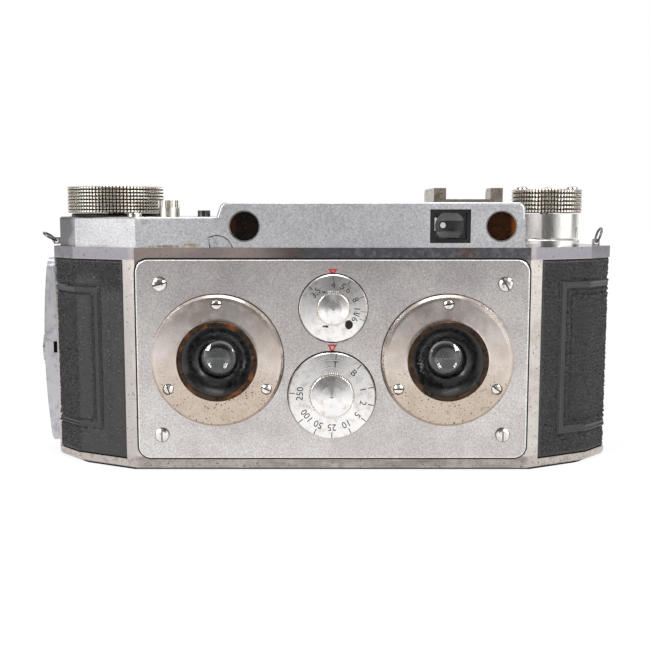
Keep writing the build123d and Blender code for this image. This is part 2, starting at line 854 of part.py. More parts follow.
def shutter_frame():
    low, high = pocket_low + frame_edge, pocket_high - frame_edge
    frame = block(-pocket_corner_half, pocket_corner_half, bulkhead_y - track_thick, bulkhead_y, low, high)
    track_front = opening_blade_y - track_wide
    for side in sides:
        middle = side * lens_x
        frame -= rod_y(middle, lens_z, bulkhead_y - 2 * track_thick, bulkhead_y + through,
                       rear_cell_r + 2 * running)
        for x in (middle - track_half, middle + track_half):
            frame += block(x - track_thick / 2, x + track_thick / 2, track_front, bulkhead_y - through, low,
                           high)
        # the crossbar of the blades passes through the inner tracks
        x = side * (lens_x - track_half)
        bar_low = lens_z + blade_high - bar_foot - blade_travel
        frame -= block(x - track_thick, x + track_thick, track_front - through,
                       bulkhead_y - track_thick - apart,
                       bar_low - 3 * gap, high + through)
    rod_clear = push_rod_r + 3 * gap
    frame -= block(push_rod_x - rod_clear, push_rod_x + rod_clear + through, bulkhead_y - 2 * track_thick,
                   bulkhead_y + through, carrier_z - rod_clear, carrier_z + rod_clear)
    return frame


def shutter_blade(y0, window_z, low):
    """Two leaves joined by a bar; window_z is where its windows stand at rest."""
    high = lens_z + blade_high
    y1 = y0 + blade_thick
    blade = block(-lens_x, lens_x, y0, y1, high - bar_foot, high - bar_top)
    for side in sides:
        blade += block(side * lens_x - blade_half, side * lens_x + blade_half, y0, y1, low, high)
        blade -= rod_y(side * lens_x, window_z, y0 - through, y1 + through, blade_window_r)
    return blade


def rear_cells():
    profile = [(rear_bore_r, rear_cell_front), (rear_cell_r, rear_cell_front), (rear_cell_r, rear_cell_back),
               (rear_bore_r, rear_cell_back)]
    return [turned_y(profile, side * lens_x, lens_z) for side in sides]


def rear_elements():
    """Thick rear glass of each lens, bulging at both faces."""
    middle_r = 0.65 * rear_bore_r
    front, back = rear_cell_front, rear_cell_back
    bulge = rear_glass_bulge
    profile = [(0, front + bulge), (middle_r, front + 2 * bulge), (rear_bore_r, front + 4 * bulge),
               (rear_bore_r, back - rear_glass_in - 4 * bulge), (middle_r, back - rear_glass_in - bulge),
               (0, back - rear_glass_in)]
    return [turned_y(profile, side * lens_x, lens_z) for side in sides]


# Focusing

def front_cells():
    """Barrel, bezel and conical name ring of each front cell."""
    seat = glass_front + glass_thick
    profile = [(glass_r, name_ring_slope - bezel_front + 2 * gap), (bezel_bore_r, 2 * gap - bezel_front),
               (bezel_bore_r, -bezel_front), (bezel_r - dial_edge, -bezel_front),
               (bezel_r, dial_edge - bezel_front),
               (bezel_r, cell_rear_y), (glass_r + glass_seat, cell_rear_y),
               (glass_r + glass_seat, seat + apart),
               (glass_r, seat + apart)]
    return [turned_y(profile, side * lens_x, lens_z) for side in sides]


def front_elements():
    back = glass_front + glass_thick
    middle_r = 0.53 * glass_r
    profile = [(0, glass_front), (middle_r, glass_front + 0.3), (glass_r, glass_edge_front),
               (glass_r, back - 0.4),
               (middle_r, back - 0.1), (0, back)]
    return [turned_y(profile, side * lens_x, lens_z) for side in sides]


def focus_carrier():
    back = carrier_y + carrier_thick
    bar = block(-lens_x, lens_x, carrier_y, back, lens_z - carrier_half, lens_z + carrier_half)
    for side in sides:
        bar += rod_y(side * lens_x, lens_z, carrier_y, back, bezel_r + carrier_ring)
    for side in sides:
        bar -= rod_y(side * lens_x, lens_z, carrier_y - through, back + through, bezel_r)
        bar -= rod_y(side * carrier_guide_x, lens_z, carrier_y - through, back + through,
                     carrier_guide_r + running)
    # push rod to the rocker, with a cross pin at its end
    lug = push_rod_r + gap
    bar += block(push_rod_x - lug, push_rod_x + 3 * lug, carrier_y, back, carrier_z - lug, lens_z)
    bar += rod_y(push_rod_x, carrier_z, carrier_y, rocker_y + push_rod_r, push_rod_r)
    bar += rod_x(push_rod_x, through + 2 * gap, rocker_y, carrier_z, pin_r)
    # stud to the rangefinder arm, which passes through the top wall
    stud_foot = pocket_high - 2 * carrier_thick
    bar += block(stud_x - stud_half, stud_x + stud_half, carrier_y, back, lens_z, stud_foot + carrier_thick)
    bar += rod_z(stud_x, stud_y, stud_foot, arm_low + arm_thick + apart, pin_r)
    return bar


def rocker_shaft():
    shaft = rod_x(rocker_end_thick - half_width, rocker_near_end, rocker_y, rocker_z, rocker_r)
    end_x = rocker_end_apart - drum_inner
    inner_x = end_x + rocker_end_thick
    arm = block(end_x, inner_x, rocker_y - rocker_arm_half, rocker_y + rocker_arm_half, rocker_z, lens_z)
    arm += rod_x(end_x, inner_x, rocker_y, rocker_z, rocker_hub_r)
    arm += rod_x(end_x, inner_x, rocker_y, lens_z, rocker_arm_half)
    follower = rod_x(gap - drum_inner - groove_deep, end_x, rocker_y, lens_z, pin_r)
    fork = block(-1, 1, rocker_y - fork_half, rocker_y + fork_half, rocker_z, carrier_z + fork_half)
    fork += rod_x(-1, 1, rocker_y, rocker_z, rocker_hub_r)
    slot = pin_r + running
    fork -= block(-1 - through, 1 + through, rocker_y - slot, rocker_y + slot, carrier_z - fork_half,
                  carrier_z + fork_half + through)
    return shaft + arm + follower + fork


def spiral_groove(groove_half, depth):
    """Groove whose middle line closes in on the axis by spiral_rise for each radian."""
    steps = 12
    outer, inner = [], []
    for step in range(steps + 1):
        angle = spiral_turn * step / steps
        r = spiral_start_r - spiral_rise * angle
        outer.append(((r + groove_half) * cos(angle), (r + groove_half) * sin(angle)))
        inner.append(((r - groove_half) * cos(angle), (r - groove_half) * sin(angle)))
    rim = Spline(*outer)
    hub = Spline(*inner[::-1])
    face = make_face([rim, Line(rim @ 1, hub @ 0), hub, Line(hub @ 1, rim @ 0)])
    end_r = spiral_start_r - spiral_rise * spiral_turn
    face += Pos(spiral_start_r, 0) * Circle(groove_half)
    face += Pos(end_r * cos(spiral_turn), end_r * sin(spiral_turn)) * Circle(groove_half)
    return side_prism(face, 0, depth)


def distance_drum():
    drum = rod_x(-drum_inner - drum_thick, -drum_inner, 0, 0, drum_r)
    drum -= Pos(-drum_inner - groove_deep, 0, 0) * spiral_groove(pin_r + 2 * running, drum_thick)
    drum -= rod_x(-drum_inner - drum_thick - through, through - drum_inner, 0, 0, wheel_shaft_r)
    return Pos(0, wheel_y, lens_z) * drum


def focus_wheel():
    rim = star(wheel_flutes, wheel_r - 0.45, wheel_r, 0.45, 0.2)
    wheel = side_prism(rim, -wheel_face, wheel_rim - wheel_face)
    wheel -= rod_x(-wheel_face - through, wheel_dish - wheel_face, 0, 0, wheel_r - wheel_flange)
    wheel += rod_x(wheel_rim / 2 - wheel_face, -wheel_shaft_end, 0, 0, wheel_shaft_r)
    return Pos(0, wheel_y, lens_z) * wheel


def rangefinder_arm():
    """Arm with a fork at its end for the carrier's stud, and the moving mirror on its pivot."""
    top = arm_low + arm_thick
    slot = pin_r + running
    arm = block(left_window_x, stud_x + stud_half + 2 * apart, stud_y - arm_half, stud_y + arm_half,
                arm_low, top)
    arm -= block(stud_x - pin_r - 2 * apart, stud_x + 2 * stud_half, stud_y - slot, stud_y + slot,
                 arm_low - through, top + through)
    arm += rod_z(left_window_x, stud_y, arm_low - 4 * apart, top + 0.8, arm_hub_r)
    arm -= rod_z(left_window_x, stud_y, arm_low - through, top - apart, arm_pivot_r + running)
    mirror = Rot(0, 0, -45) * Box(mirror_thick, mirror_long, mirror_high)
    return arm + Pos(left_window_x, stud_y, top + 0.7 + mirror_high / 2) * mirror


def rangefinder_base():
    """Pivot post of the arm, and the fixed half mirror on its block."""
    pivot = rod_z(left_window_x, stud_y, body_height, arm_low + arm_thick - 2 * apart, arm_pivot_r)
    pivot += rod_z(left_window_x, stud_y, body_height, body_height + 0.7, 2.5 * arm_pivot_r)
    block_high = body_height + mirror_foot
    half = arm_hub_r
    fixed = block(right_window_x - half, right_window_x + half, stud_y - half, stud_y + half, body_height,
                  block_high)
    mirror = Rot(0, 0, -45) * Box(mirror_thick, mirror_long, mirror_high)
    fixed += Pos(right_window_x, stud_y, block_high + mirror_high / 2 - apart) * mirror
    return [pivot, fixed]


# Top housing

def housing_outline():
    i = housing_inset
    end = half_width - 2 * i
    return plan([(-front_half + i / 2, housing_front), (housing_right, housing_front),
                 (housing_right, housing_rear),
                 (-back_half + i / 2, housing_rear), (-rear_x + i, rear_y - i / 3),
                 (end_taper / 2 - end, end_y),
                 (-end + running, corner_y + i / 2), (-facet_x + 0.7 * i, facet_y + i)])


def top_housing():
    outline = housing_outline()
    deck = prism(outline, body_height, deck_height)
    deck = fillet(deck.faces().sort_by(Axis.Z)[-1].edges(), housing_round)
    ramp_low_x = ramp_high_x - ramp_run
    overlap_x = ramp_low_x - through
    profile = plan([(overlap_x, body_height), (housing_right, body_height), (housing_right, raised_height),
                    (ramp_high_x, raised_height), (ramp_low_x, deck_height - gap),
                    (overlap_x, deck_height - gap)])
    raised = front_prism(profile, housing_front, housing_rear)
    corner = raised.edges().filter_by(Axis.Y).filter_by(lambda e: e.center().Z > deck_height + gap)
    raised = fillet(corner.filter_by(lambda e: e.center().X > 0), housing_end_round)
    corner = raised.edges().filter_by(Axis.Y).filter_by(lambda e: e.center().Z > deck_height + gap)
    raised = fillet(corner.sort_by(Axis.X)[0], ramp_round)
    top = raised.faces().filter_by(Axis.Z).sort_by(Axis.Z)[-1]
    raised = fillet(top.edges().filter_by(Axis.X), housing_round)
    housing = deck + raised
    # hollow flare along the foot of the right end
    flare = block(housing_right - gap, housing_right + housing_flare, housing_front, housing_rear,
                  body_height,
                  body_height + housing_flare)
    housing += flare - rod_y(housing_right + housing_flare, body_height + housing_flare, 0, body_depth,
                             housing_flare)
    inner = offset(outline, amount=-housing_wall, kind=Kind.INTERSECTION)
    housing -= prism(inner, body_height - through, deck_height - housing_wall)
    housing -= block(ramp_high_x + housing_wall, housing_right - housing_wall, housing_front + housing_wall,
                     housing_rear - housing_wall, body_height - through, raised_height - housing_wall)
    # windows and eyepieces
    for x in (left_window_x, right_window_x):
        housing -= rod_y(x, window_z, -through, 2 * housing_wall, window_r)
    housing -= block(finder_x - finder_half, finder_x + finder_half, -through, 2 * housing_wall,
                     finder_z - finder_tall / 2, finder_z + finder_tall / 2)
    for x in (finder_x, right_window_x):
        housing -= rod_y(x, window_z, housing_rear - 2 * housing_wall, housing_rear + through,
                         eyepiece_body_r)
    # recess for the selector lever, whose lower half lies behind the body's edge
    housing -= rod_y(lever_x, lever_z, -through, 2 * housing_wall, lever_r + gap) - lever_left(gap)
    # shafts, buttons and screws
    holes = [(winding_x, winding_y, winding_shaft_r + running), (release_x, release_y, release_r + running),
             (button_x, button_y, button_r + running)]
    holes += [(x, y, housing_screw_bore_r) for x, y in housing_screw_places()]
    for x, y, r in holes:
        housing -= rod_z(x, y, deck_height - 2 * housing_wall, deck_height + through, r)
    return housing


def housing_screw_places():
    return [(housing_screw_x, housing_screw_y), (rear_screw_x, body_depth - rear_screw_in)]


def housing_screws():
    screws = []
    top = deck_height + housing_screw_high
    for x, y in housing_screw_places():
        head = rod_z(x, y, deck_height, top, housing_screw_r)
        head += rod_z(x, y, deck_height - 2 * housing_wall, deck_height, housing_screw_bore_r)
        head = chamfer(head.edges().filter_by(GeomType.CIRCLE).group_by(Axis.Z)[-1], 0.2)
        half = 0.2 * housing_screw_r
        screws.append(head - block(x - half, x + half, y - 2, y + 2, top - housing_screw_high / 2,
                                   top + through))
    return screws


def lug_holes():
    """X and Z of the hole in each strap lug."""
    return {-1: (-left_lug_out - half_width, body_height + left_lug_up),
            1: (half_width - right_lug_in, body_height + right_lug_up)}


def strap_lugs():
    """Strap lug on the end wall of the housing and its twin on the bare deck at the right."""
    y0, y1 = lug_y - lug_thick / 2, lug_y + lug_thick / 2
    x, z = lug_holes()[-1]
    low, root = body_height + gap, lug_root - half_width
    tip = lug_edge + gap
    tab = plan([(root, low), (root, z + lug_edge), (x - tip, z + lug_edge), (x - tip, z),
                (x - lug_hole_r, low)])
    left = front_prism(tab, y0, y1) - rod_y(x, z, y0 - through, y1 + through, lug_hole_r)
    x, z = lug_holes()[1]
    right = block(x - tip, x + lug_edge, y0, y1, body_height, z + lug_edge)
    return [left, right - rod_y(x, z, y0 - through, y1 + through, lug_hole_r)]


def strap_ring(side):
    """A wire ring through the lug's hole."""
    x, z = lug_holes()[side]
    loop = Rot(0, 90, 0) * Torus(ring_mean_r, wire_r)
    return Pos(x, lug_y, z) * Rot(0, ring_leans[side], 0) * Pos(0, 0, ring_mean_r) * loop


# Windows and finder

def rangefinder_window(x, sunk):
    return rod_y(x, window_z, housing_front + sunk, housing_front + housing_wall + 2 * gap, window_r)


def viewfinder_frame():
    """Black tunnel from the front window to the eyepiece."""
    front = housing_front + finder_sunk
    neck = housing_front + finder_frame_deep
    back = housing_rear - housing_wall - 2.6

    def frame(margin, y0, y1):
        opening = Rectangle(2 * (finder_half - margin), finder_tall - 2 * margin)
        return front_prism(Pos(finder_x, finder_z) * opening, y0, y1)

    tunnel = frame(0, front, neck) - frame(finder_frame, front - through, neck + through)
    half = finder_frame / 2
    return tunnel + (frame(half, neck, back) - frame(half + finder_frame, neck - through, back + through))


def finder_glasses():
    """Front lens of the viewfinder, hollow in front, and the glasses of both eyepieces."""
    front = housing_front + 5 * finder_sunk
    curve_r = 22.6
    pane = Rectangle(2 * (finder_half - finder_frame), finder_tall - 2 * finder_frame)
    lens = front_prism(Pos(finder_x, finder_z) * pane, front, front + housing_wall)
    hollow = Pos(finder_x, front + 0.4 - curve_r, finder_z) * Sphere(curve_r)
    rears = [rod_y(x, window_z, housing_rear - housing_wall, housing_rear + 0.4, eyepiece_bore_r)
             for x in (finder_x, right_window_x)]
    return [lens - hollow] + rears


def eyepieces():
    inner = housing_rear - housing_wall - 1.5
    outer = housing_rear + eyepiece_high
    profile = [(eyepiece_bore_r, inner), (eyepiece_body_r, inner), (eyepiece_body_r, housing_rear),
               (eyepiece_rim_r, housing_rear), (eyepiece_rim_r, outer - 0.4), (eyepiece_rim_r - 0.6, outer),
               (eyepiece_bore_r + 0.6, outer), (eyepiece_bore_r, outer - 1.0)]
    return [turned_y(profile, x, window_z) for x in (finder_x, right_window_x)]


# Accessory shoe

def accessory_shoe():
    """Floor with two side walls; lips over their front part hold the accessory's foot."""
    half_slot, half_mouth = shoe_slot / 2, shoe_mouth / 2
    section = plan([(-shoe_half, 0), (shoe_half, 0), (shoe_half, shoe_height), (half_slot, shoe_height),
                    (half_slot, shoe_floor), (-half_slot, shoe_floor), (-half_slot, shoe_height),
                    (-shoe_half, shoe_height)])
    shoe = front_prism(Pos(shoe_x, raised_height) * section, shoe_y, shoe_y + shoe_length)
    shoe = fillet(shoe.edges().filter_by(Axis.X).group_by(Axis.Y)[-1].group_by(Axis.Z)[-1], shoe_round)
    low, high = raised_height + shoe_floor, raised_height + shoe_height
    for side in sides:
        inner, outer = sorted((shoe_x + side * half_mouth, shoe_x + side * (half_slot + apart)))
        shoe += block(inner, outer, shoe_y, shoe_y + shoe_stop, low - apart, high)
        shoe += block(inner, outer, shoe_y, shoe_y + shoe_lip_long, high - shoe_lip, high)
    return shoe


# Winding train and film take-up

def winding_knob():
    top = winding_low + winding_high
    rim = star(knob_teeth, winding_r - knurl_deep, winding_r, 0.48, 0.1)
    dish_r = winding_r - 4 * knurl_deep
    dish = turned_z([(0, top - knob_dish), (dish_r - knob_dish, top - knob_dish), (dish_r, top),
                     (dish_r, top + through), (0, top + through)], 0, 0)
    return Pos(winding_x, winding_y, 0) * (prism(rim, winding_low + apart, top) - dish)


def winding_base_ring():
    bore = winding_shaft_r + running
    bevel = 0.4
    return turned_z([(bore, deck_height), (winding_base_r, deck_height),
                     (winding_base_r, winding_low - bevel),
                     (winding_base_r - bevel, winding_low), (bore, winding_low)], winding_x, winding_y)


def winding_shaft():
    shaft = rod_z(0, 0, shaft_foot, winding_low + apart, winding_shaft_r)
    shaft += prism(gear(winding_teeth, gear_module), gear_low, gear_low + gear_thick)
    return Pos(winding_x, winding_y, 0) * shaft


def take_up_spool():
    """Slotted core between two flanges, with a neck up to the gear."""
    low = lens_z - film_width / 2 - 2 * apart
    high = lens_z + film_width / 2 + 2 * apart
    spool = rod_z(0, 0, low - spool_flange, high + spool_neck, spool_core_r)
    for z in (low - spool_flange, high):
        spool += rod_z(0, 0, z, z + spool_flange, spool_flange_r)
    spool -= rod_z(0, 0, 0, body_height, winding_shaft_r)
    spool -= block(spool_core_r - 1.6, spool_core_r + through, -spool_slot / 2, spool_slot / 2, low + 2,
                   high - 2)
    return Pos(winding_x, winding_y, 0) * spool


def sprocket_shaft():
    """Sprocket with two rows of eight teeth; the gear on top meshes with the winding gear."""
    past_tooth = radians(sprocket_angle) % (2 * pi / winding_teeth)
    phase = radians(180 + sprocket_angle) + past_tooth * winding_teeth / sprocket_teeth - pi / sprocket_teeth
    half = perforation_rows / 2 + sprocket_land
    shaft = rod_z(0, 0, sprocket_foot, gear_low + gear_thick, sprocket_shaft_r)
    shaft += rod_z(0, 0, lens_z - half, lens_z + half, sprocket_body_r)
    teeth = star(8, sprocket_r - knurl_deep, sprocket_r + sprocket_tooth, 0.13, 0.06)
    for side in sides:
        z = lens_z + side * perforation_rows / 2
        shaft += rod_z(0, 0, z - sprocket_land, z + sprocket_land, sprocket_r)
        shaft += prism(teeth, z - sprocket_land / 2, z + sprocket_land / 2)
    shaft += prism(gear(sprocket_teeth, gear_module, phase), gear_low, gear_low + gear_thick)
    return Pos(sprocket_x, sprocket_y, 0) * shaft


# Rewind knob

def rewind_base_ring():
    ring = tube_z(rewind_x, rewind_y, body_height, rewind_base_top, rewind_base_r, rewind_stem_r + running)
    rim = ring.edges().filter_by(GeomType.CIRCLE).group_by(Axis.Z)[-1].sort_by(SortBy.LENGTH)[-1]
    return chamfer(rim, 0.4)


def rewind_collar():
    bore = rewind_shaft_r + running
    low = rewind_base_top + 2 * apart
    collar = tube_z(rewind_x, rewind_y, low, rewind_low - 2 * apart, collar_r, bore)
    return collar + tube_z(rewind_x, rewind_y, body_height - rewind_stem_down, low + gap, rewind_stem_r, bore)


def rewind_knob():
    top = rewind_low + rewind_high
    knob = prism(star(rewind_teeth, rewind_r - knurl_deep, rewind_r, 0.48, 0.1), rewind_low, top)
    fork_low = body_height - rewind_fork_down
    fork_high = body_height - rewind_stem_down - through
    half = rewind_fork_half
    knob += rod_z(0, 0, fork_high, rewind_low, rewind_shaft_r)
    fork = block(-half, half, -0.6, 0.6, fork_low, fork_high + 0.5)
    knob += fork - block(-half / 3, half / 3, -1, 1, fork_low - 1, fork_low + half)
    stud = turned_z([(0, -0.2), (rewind_stud_r, -0.2), (rewind_stud_r - 0.15, rewind_stud_high / 2),
                     (rewind_stud_r / 2, 0.95 * rewind_stud_high), (0, rewind_stud_high)], 0, 0)
    for turn in (rewind_stud_turn, rewind_stud_turn + 120, rewind_stud_turn + 240):
        x, y = rewind_stud_pitch_r * cos(radians(turn)), rewind_stud_pitch_r * sin(radians(turn))
        knob += Pos(x, y, top) * stud
    return Pos(rewind_x, rewind_y, 0) * knob


# Buttons and selector lever

def shutter_release():
    neck = deck_height + release_neck
    top = deck_height + release_high
    flutes = star(26, release_r - gap, release_r, 0.45, 0.15)
    button = prism(flutes, neck, top) + rod_z(0, 0, deck_height - 1.6, neck, release_r - apart)
    button += rod_z(0, 0, body_height - release_down + gap, deck_height - through, stem_r)
    button -= rod_z(0, 0, top - release_bore_deep, top + through, release_bore_r)
    return Pos(release_x, release_y, 0) * button


def rewind_button():
    button = prism(star(16, button_r - gap, button_r, 0.45, 0.15), deck_height + gap,
                   deck_height + button_high)
    button += rod_z(0, 0, deck_height - 1.4, deck_height + gap, button_r - running)
    button += rod_z(0, 0, body_height - button_down, deck_height - through, stem_r)
    return Pos(button_x, button_y, 0) * button


def lever_left(inset):
    """Everything to the left of the lever's cut edge, moved left by inset."""
    cut = lever_x - lever_cut - inset
    half = 2 * lever_r
    return block(cut - lever_r, cut, -2 * through, 2 * housing_wall + through, lever_z - half, lever_z + half)


def selector_lever():
    disc = rod_y(lever_x, lever_z, lever_y, lever_y + lever_thick, lever_r)
    disc -= lever_left(0)
    cut = lever_x - lever_cut
    tab = block(cut, cut + lever_tab, -lever_tab, lever_y + lever_thick, lever_z + lever_tab_low,
                lever_z + lever_tab_high)
    pivot = rod_y(lever_x, lever_z, lever_y, lever_y + lever_pivot_long, lever_pivot_r)
    return disc + tab + pivot


# Side cover

def cover_block(inset):
    """Solid of the side cover: rounded rectangle seen from the end, domed seen from the front."""
    face = round_rect(cover_front + inset, cover_rear - inset, cover_low + inset, cover_high - inset,
                      cover_corner_r)
    inner_x = -half_width + end_taper + 4 * cover_wall
    solid = side_prism(face, -cover_mid - through, inner_x)
    low, high = cover_low - through, cover_high + through
    edge, mid = inset - cover_edge, inset - cover_mid
    arc = ThreePointArc((edge, low), (mid, (low + high) / 2), (edge, high))
    back = 2 * inner_x
    straight = [Line((edge, high), (-back, high)), Line((-back, high), (-back, low)),
                Line((-back, low), (edge, low))]
    return solid & front_prism(make_face([arc] + straight), 0, body_depth)


def side_cover():
    cover = cover_block(0) - cover_block(cover_wall) - prism(body_outline(), 0, body_height)
    cover -= rod_x(-cover_mid - through, cover_wall - cover_edge + gap, wheel_y, lens_z, wheel_r + gap)
    scale_low = lens_z - scale_window / 5
    cover -= block(-half_width - scale_wide + 0.5, -half_width + 0.5, cover_front - through,
                   cover_front + cover_wall + gap, scale_low, scale_low + scale_window)
    return cover


# Film gate and light boxes

def film_gate():
    back = door_y + gate_thick
    gate = block(-gate_half, gate_half, door_y, back, lens_z - gate_tall / 2, lens_z + gate_tall / 2)
    for side in sides:
        outer = lens_z + side * (film_width / 2 + 1.0)
        inner = lens_z + side * (gate_height / 2 + 1.2)
        gate += block(-gate_half, gate_half, back, back + outer_rail_high, outer - rail_half,
                      outer + rail_half)
        gate += block(-gate_half, gate_half, back, back + rail_high, inner - rail_half, inner + rail_half)
        x = side * lens_x
        gate -= block(x - gate_width / 2, x + gate_width / 2, door_y - through,
                      back + outer_rail_high + through,
                      lens_z - gate_height / 2, lens_z + gate_height / 2)
    return gate


def light_boxes():
    """Two funnels from the rear lens cells to the film gate, each with a flange round its picture."""
    front = rear_cell_back + light_box_front
    small = light_box_small
    w = 2 * light_box_wall

    def funnel(grow, y0, y1):
        return loft([Pos(0, y0, 0) * (Plane.XZ * Rectangle(small + grow, small + grow)),
                     Pos(0, y1, 0) * (Plane.XZ * Rectangle(gate_width + grow, gate_height + grow))])

    flange = block(-flange_half, flange_half, door_y - flange_thick, door_y, -flange_tall, flange_tall)
    flange -= block(-gate_width / 2, gate_width / 2, 0, body_depth, -gate_height / 2, gate_height / 2)
    box = funnel(w, front, door_y) - funnel(0, front, door_y) + flange
    return [Pos(side * lens_x, 0, lens_z) * box for side in sides]


# Back cover

def door_outline(inset, front_y):
    return plan([(hinge_x, front_y), (hinge_x, hinge_y + knuckle_r - inset),
                 (back_half - 0.4 * inset, body_depth - inset),
                 (-back_half + 0.4 * inset, body_depth - inset),
                 (-rear_x + inset, rear_y - 0.4 * inset), (-rear_x - 0.6 + inset, front_y)])


def back_cover():
    low, high = floor + gap, door_top - gap
    shell = prism(door_outline(0, door_y + door_gap), low, high)
    shell -= prism(door_outline(door_thick, door_y - through), low + door_thick, high - door_thick)
    shell += rod_z(hinge_x, hinge_y, low, high, knuckle_r)
    shell -= rod_z(hinge_x, hinge_y, low - through, high + through, hinge_pin_r + running)
    # way for the latch's bolt and the neck of its thumb piece
    shell -= rod_z(latch_x, latch_y, latch_z, high + through, latch_r + running)
    neck_way = Box(2 * (latch_neck_half + gap), 3 * door_thick, 2 * (latch_neck_tall + gap) + latch_travel)
    return shell - latch_place() * Pos(0, 0, latch_travel / 2) * neck_way


def latch_place():
    """Middle of the rear facet at the left, with Y facing out."""
    return Pos(-(back_half + rear_x) / 2, (rear_y + body_depth) / 2, latch_z) * Rot(0, 0, latch_turn)


def back_latch():
    """Sliding bolt inside the cover, with a ribbed thumb piece outside."""
    latch = rod_z(0, -latch_depth, -latch_down, door_top - gap - latch_z, latch_r)
    latch += block(-latch_neck_half, latch_neck_half, -latch_depth, 0.6, -latch_neck_tall, latch_neck_tall)
    latch += block(-thumb_half, thumb_half, gap, 1.5, -thumb_tall / 2, thumb_tall / 2)
    pitch = 0.9 * thumb_tall / thumb_ribs
    for row in range(thumb_ribs):
        z = (row - (thumb_ribs - 1) / 2) * pitch
        latch += block(-thumb_half, thumb_half, 1.4, 1.9, z - 0.4, z + 0.4)
    return latch_place() * latch


def back_hinge_pin():
    return rod_z(hinge_x, hinge_y, pin_cap, body_height - pin_cap, hinge_pin_r)


def back_leather():
    half = back_half - back_leather_edge
    return block(-half, half, body_depth, body_depth + back_leather_thick, floor + gap + back_leather_edge,
                 door_top - gap - back_leather_edge)


def pressure_plate():
    y0 = door_y + gate_thick + rail_high + plate_room
    half = film_width / 2 + 0.2
    plate = block(-gate_half, gate_half, y0, y0 + 1.2, lens_z - half, lens_z + half)
    for side in sides:
        plate += rod_y(side * lens_x, lens_z, y0 + 1, body_depth - door_thick, plate_pillar_r)
    return plate


pieces = {
    "body_shell": body_shell,
    "base_plate": base_plate,
    "leather_left": leather_left,
    "leather_right": leather_right,
    "tripod_bush": tripod_bush,
    "front_plate": front_plate,
    "front_plate_screws": front_plate_screws,
    "lens_ring_left": lambda: lens_ring(-1),
    "lens_ring_right": lambda: lens_ring(1),
    "lens_ring_screws": lens_ring_screws,
    "aperture_dial": aperture_dial,
    "aperture_arbor": aperture_arbor,
    "speed_dial": speed_dial,
    "speed_arbor": speed_arbor,
    "mechanism_plate": mechanism_plate,
    "aperture_slide_front": lambda: aperture_slide(-1, slide_front_y, rest_shift),
    "aperture_slide_rear": lambda: aperture_slide(1, slide_front_y + slide_thick + slide_apart, -rest_shift),
    "shutter_frame": shutter_frame,
    "opening_blade": lambda: shutter_blade(opening_blade_y, lens_z + blade_travel,
                                           lens_z - opening_blade_low),
    "closing_blade": lambda: shutter_blade(closing_blade_y, lens_z, lens_z - closing_blade_low),
    "rear_cells": rear_cells,
    "rear_elements": rear_elements,
    "front_cells": front_cells,
    "front_elements": front_elements,
    "focus_carrier": focus_carrier,
    "rocker_shaft": rocker_shaft,
    "distance_drum": distance_drum,
    "focus_wheel": focus_wheel,
    "rangefinder_arm": rangefinder_arm,
    "rangefinder_base": rangefinder_base,
    "top_housing": top_housing,
    "housing_screws": housing_screws,
    "strap_lugs": strap_lugs,
    "strap_ring_left": lambda: strap_ring(-1),
    "strap_ring_right": lambda: strap_ring(1),
    "window_left": lambda: rangefinder_window(left_window_x, window_sunk_left),
    "window_right": lambda: rangefinder_window(right_window_x, window_sunk_right),
    "viewfinder_frame": viewfinder_frame,
    "finder_glasses": finder_glasses,
    "eyepieces": eyepieces,
    "accessory_shoe": accessory_shoe,
    "winding_knob": winding_knob,
    "winding_base_ring": winding_base_ring,
    "winding_shaft": winding_shaft,
    "take_up_spool": take_up_spool,
    "sprocket_shaft": sprocket_shaft,
    "rewind_base_ring": rewind_base_ring,
    "rewind_collar": rewind_collar,
    "rewind_knob": rewind_knob,
    "shutter_release": shutter_release,
    "rewind_button": rewind_button,
    "selector_lever": selector_lever,
    "side_cover": side_cover,
    "film_gate": film_gate,
    "light_boxes": light_boxes,
    "back_cover": back_cover,
    "back_latch": back_latch,
    "back_hinge_pin": back_hinge_pin,
    "back_leather": back_leather,
    "pressure_plate": pressure_plate,
}


def export():
    os.makedirs("parts", exist_ok=True)
    for name, make in pieces.items():
        made = make()
        solids = made if isinstance(made, list) else [made]
        moved = [Pos(0, -bush_y, 0) * s for s in solids]
        export_step(moved[0] if len(moved) == 1 else Compound(children=moved), f"parts/{name}.step")


export()
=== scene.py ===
import math

import bmesh
import bpy
import numpy as np
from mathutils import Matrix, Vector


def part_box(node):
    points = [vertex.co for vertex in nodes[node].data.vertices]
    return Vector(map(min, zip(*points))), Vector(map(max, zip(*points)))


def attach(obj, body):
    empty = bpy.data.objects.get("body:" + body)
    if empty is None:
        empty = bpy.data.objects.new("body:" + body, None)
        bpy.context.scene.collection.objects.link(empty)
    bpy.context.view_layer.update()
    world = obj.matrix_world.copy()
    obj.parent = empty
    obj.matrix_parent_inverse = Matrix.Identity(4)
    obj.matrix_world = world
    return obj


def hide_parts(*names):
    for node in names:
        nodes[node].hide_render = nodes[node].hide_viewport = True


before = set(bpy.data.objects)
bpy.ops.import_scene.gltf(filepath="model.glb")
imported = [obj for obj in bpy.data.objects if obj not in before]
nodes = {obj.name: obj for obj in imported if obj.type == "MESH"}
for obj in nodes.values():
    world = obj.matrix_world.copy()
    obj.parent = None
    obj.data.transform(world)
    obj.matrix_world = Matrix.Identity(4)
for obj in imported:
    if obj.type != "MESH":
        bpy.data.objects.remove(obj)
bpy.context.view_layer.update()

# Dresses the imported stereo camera. Lengths in this file are millimetres unless a name says metres.
mm = 0.001
softly = {"interpolation_type": "SMOOTHSTEP"}


def boxOf(node):
    # lowest and highest corner of a node at rest
    low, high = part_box(node)
    return np.array(low) / mm, np.array(high) / mm


def middleOf(node):
    low, high = boxOf(node)
    return (low + high) / 2


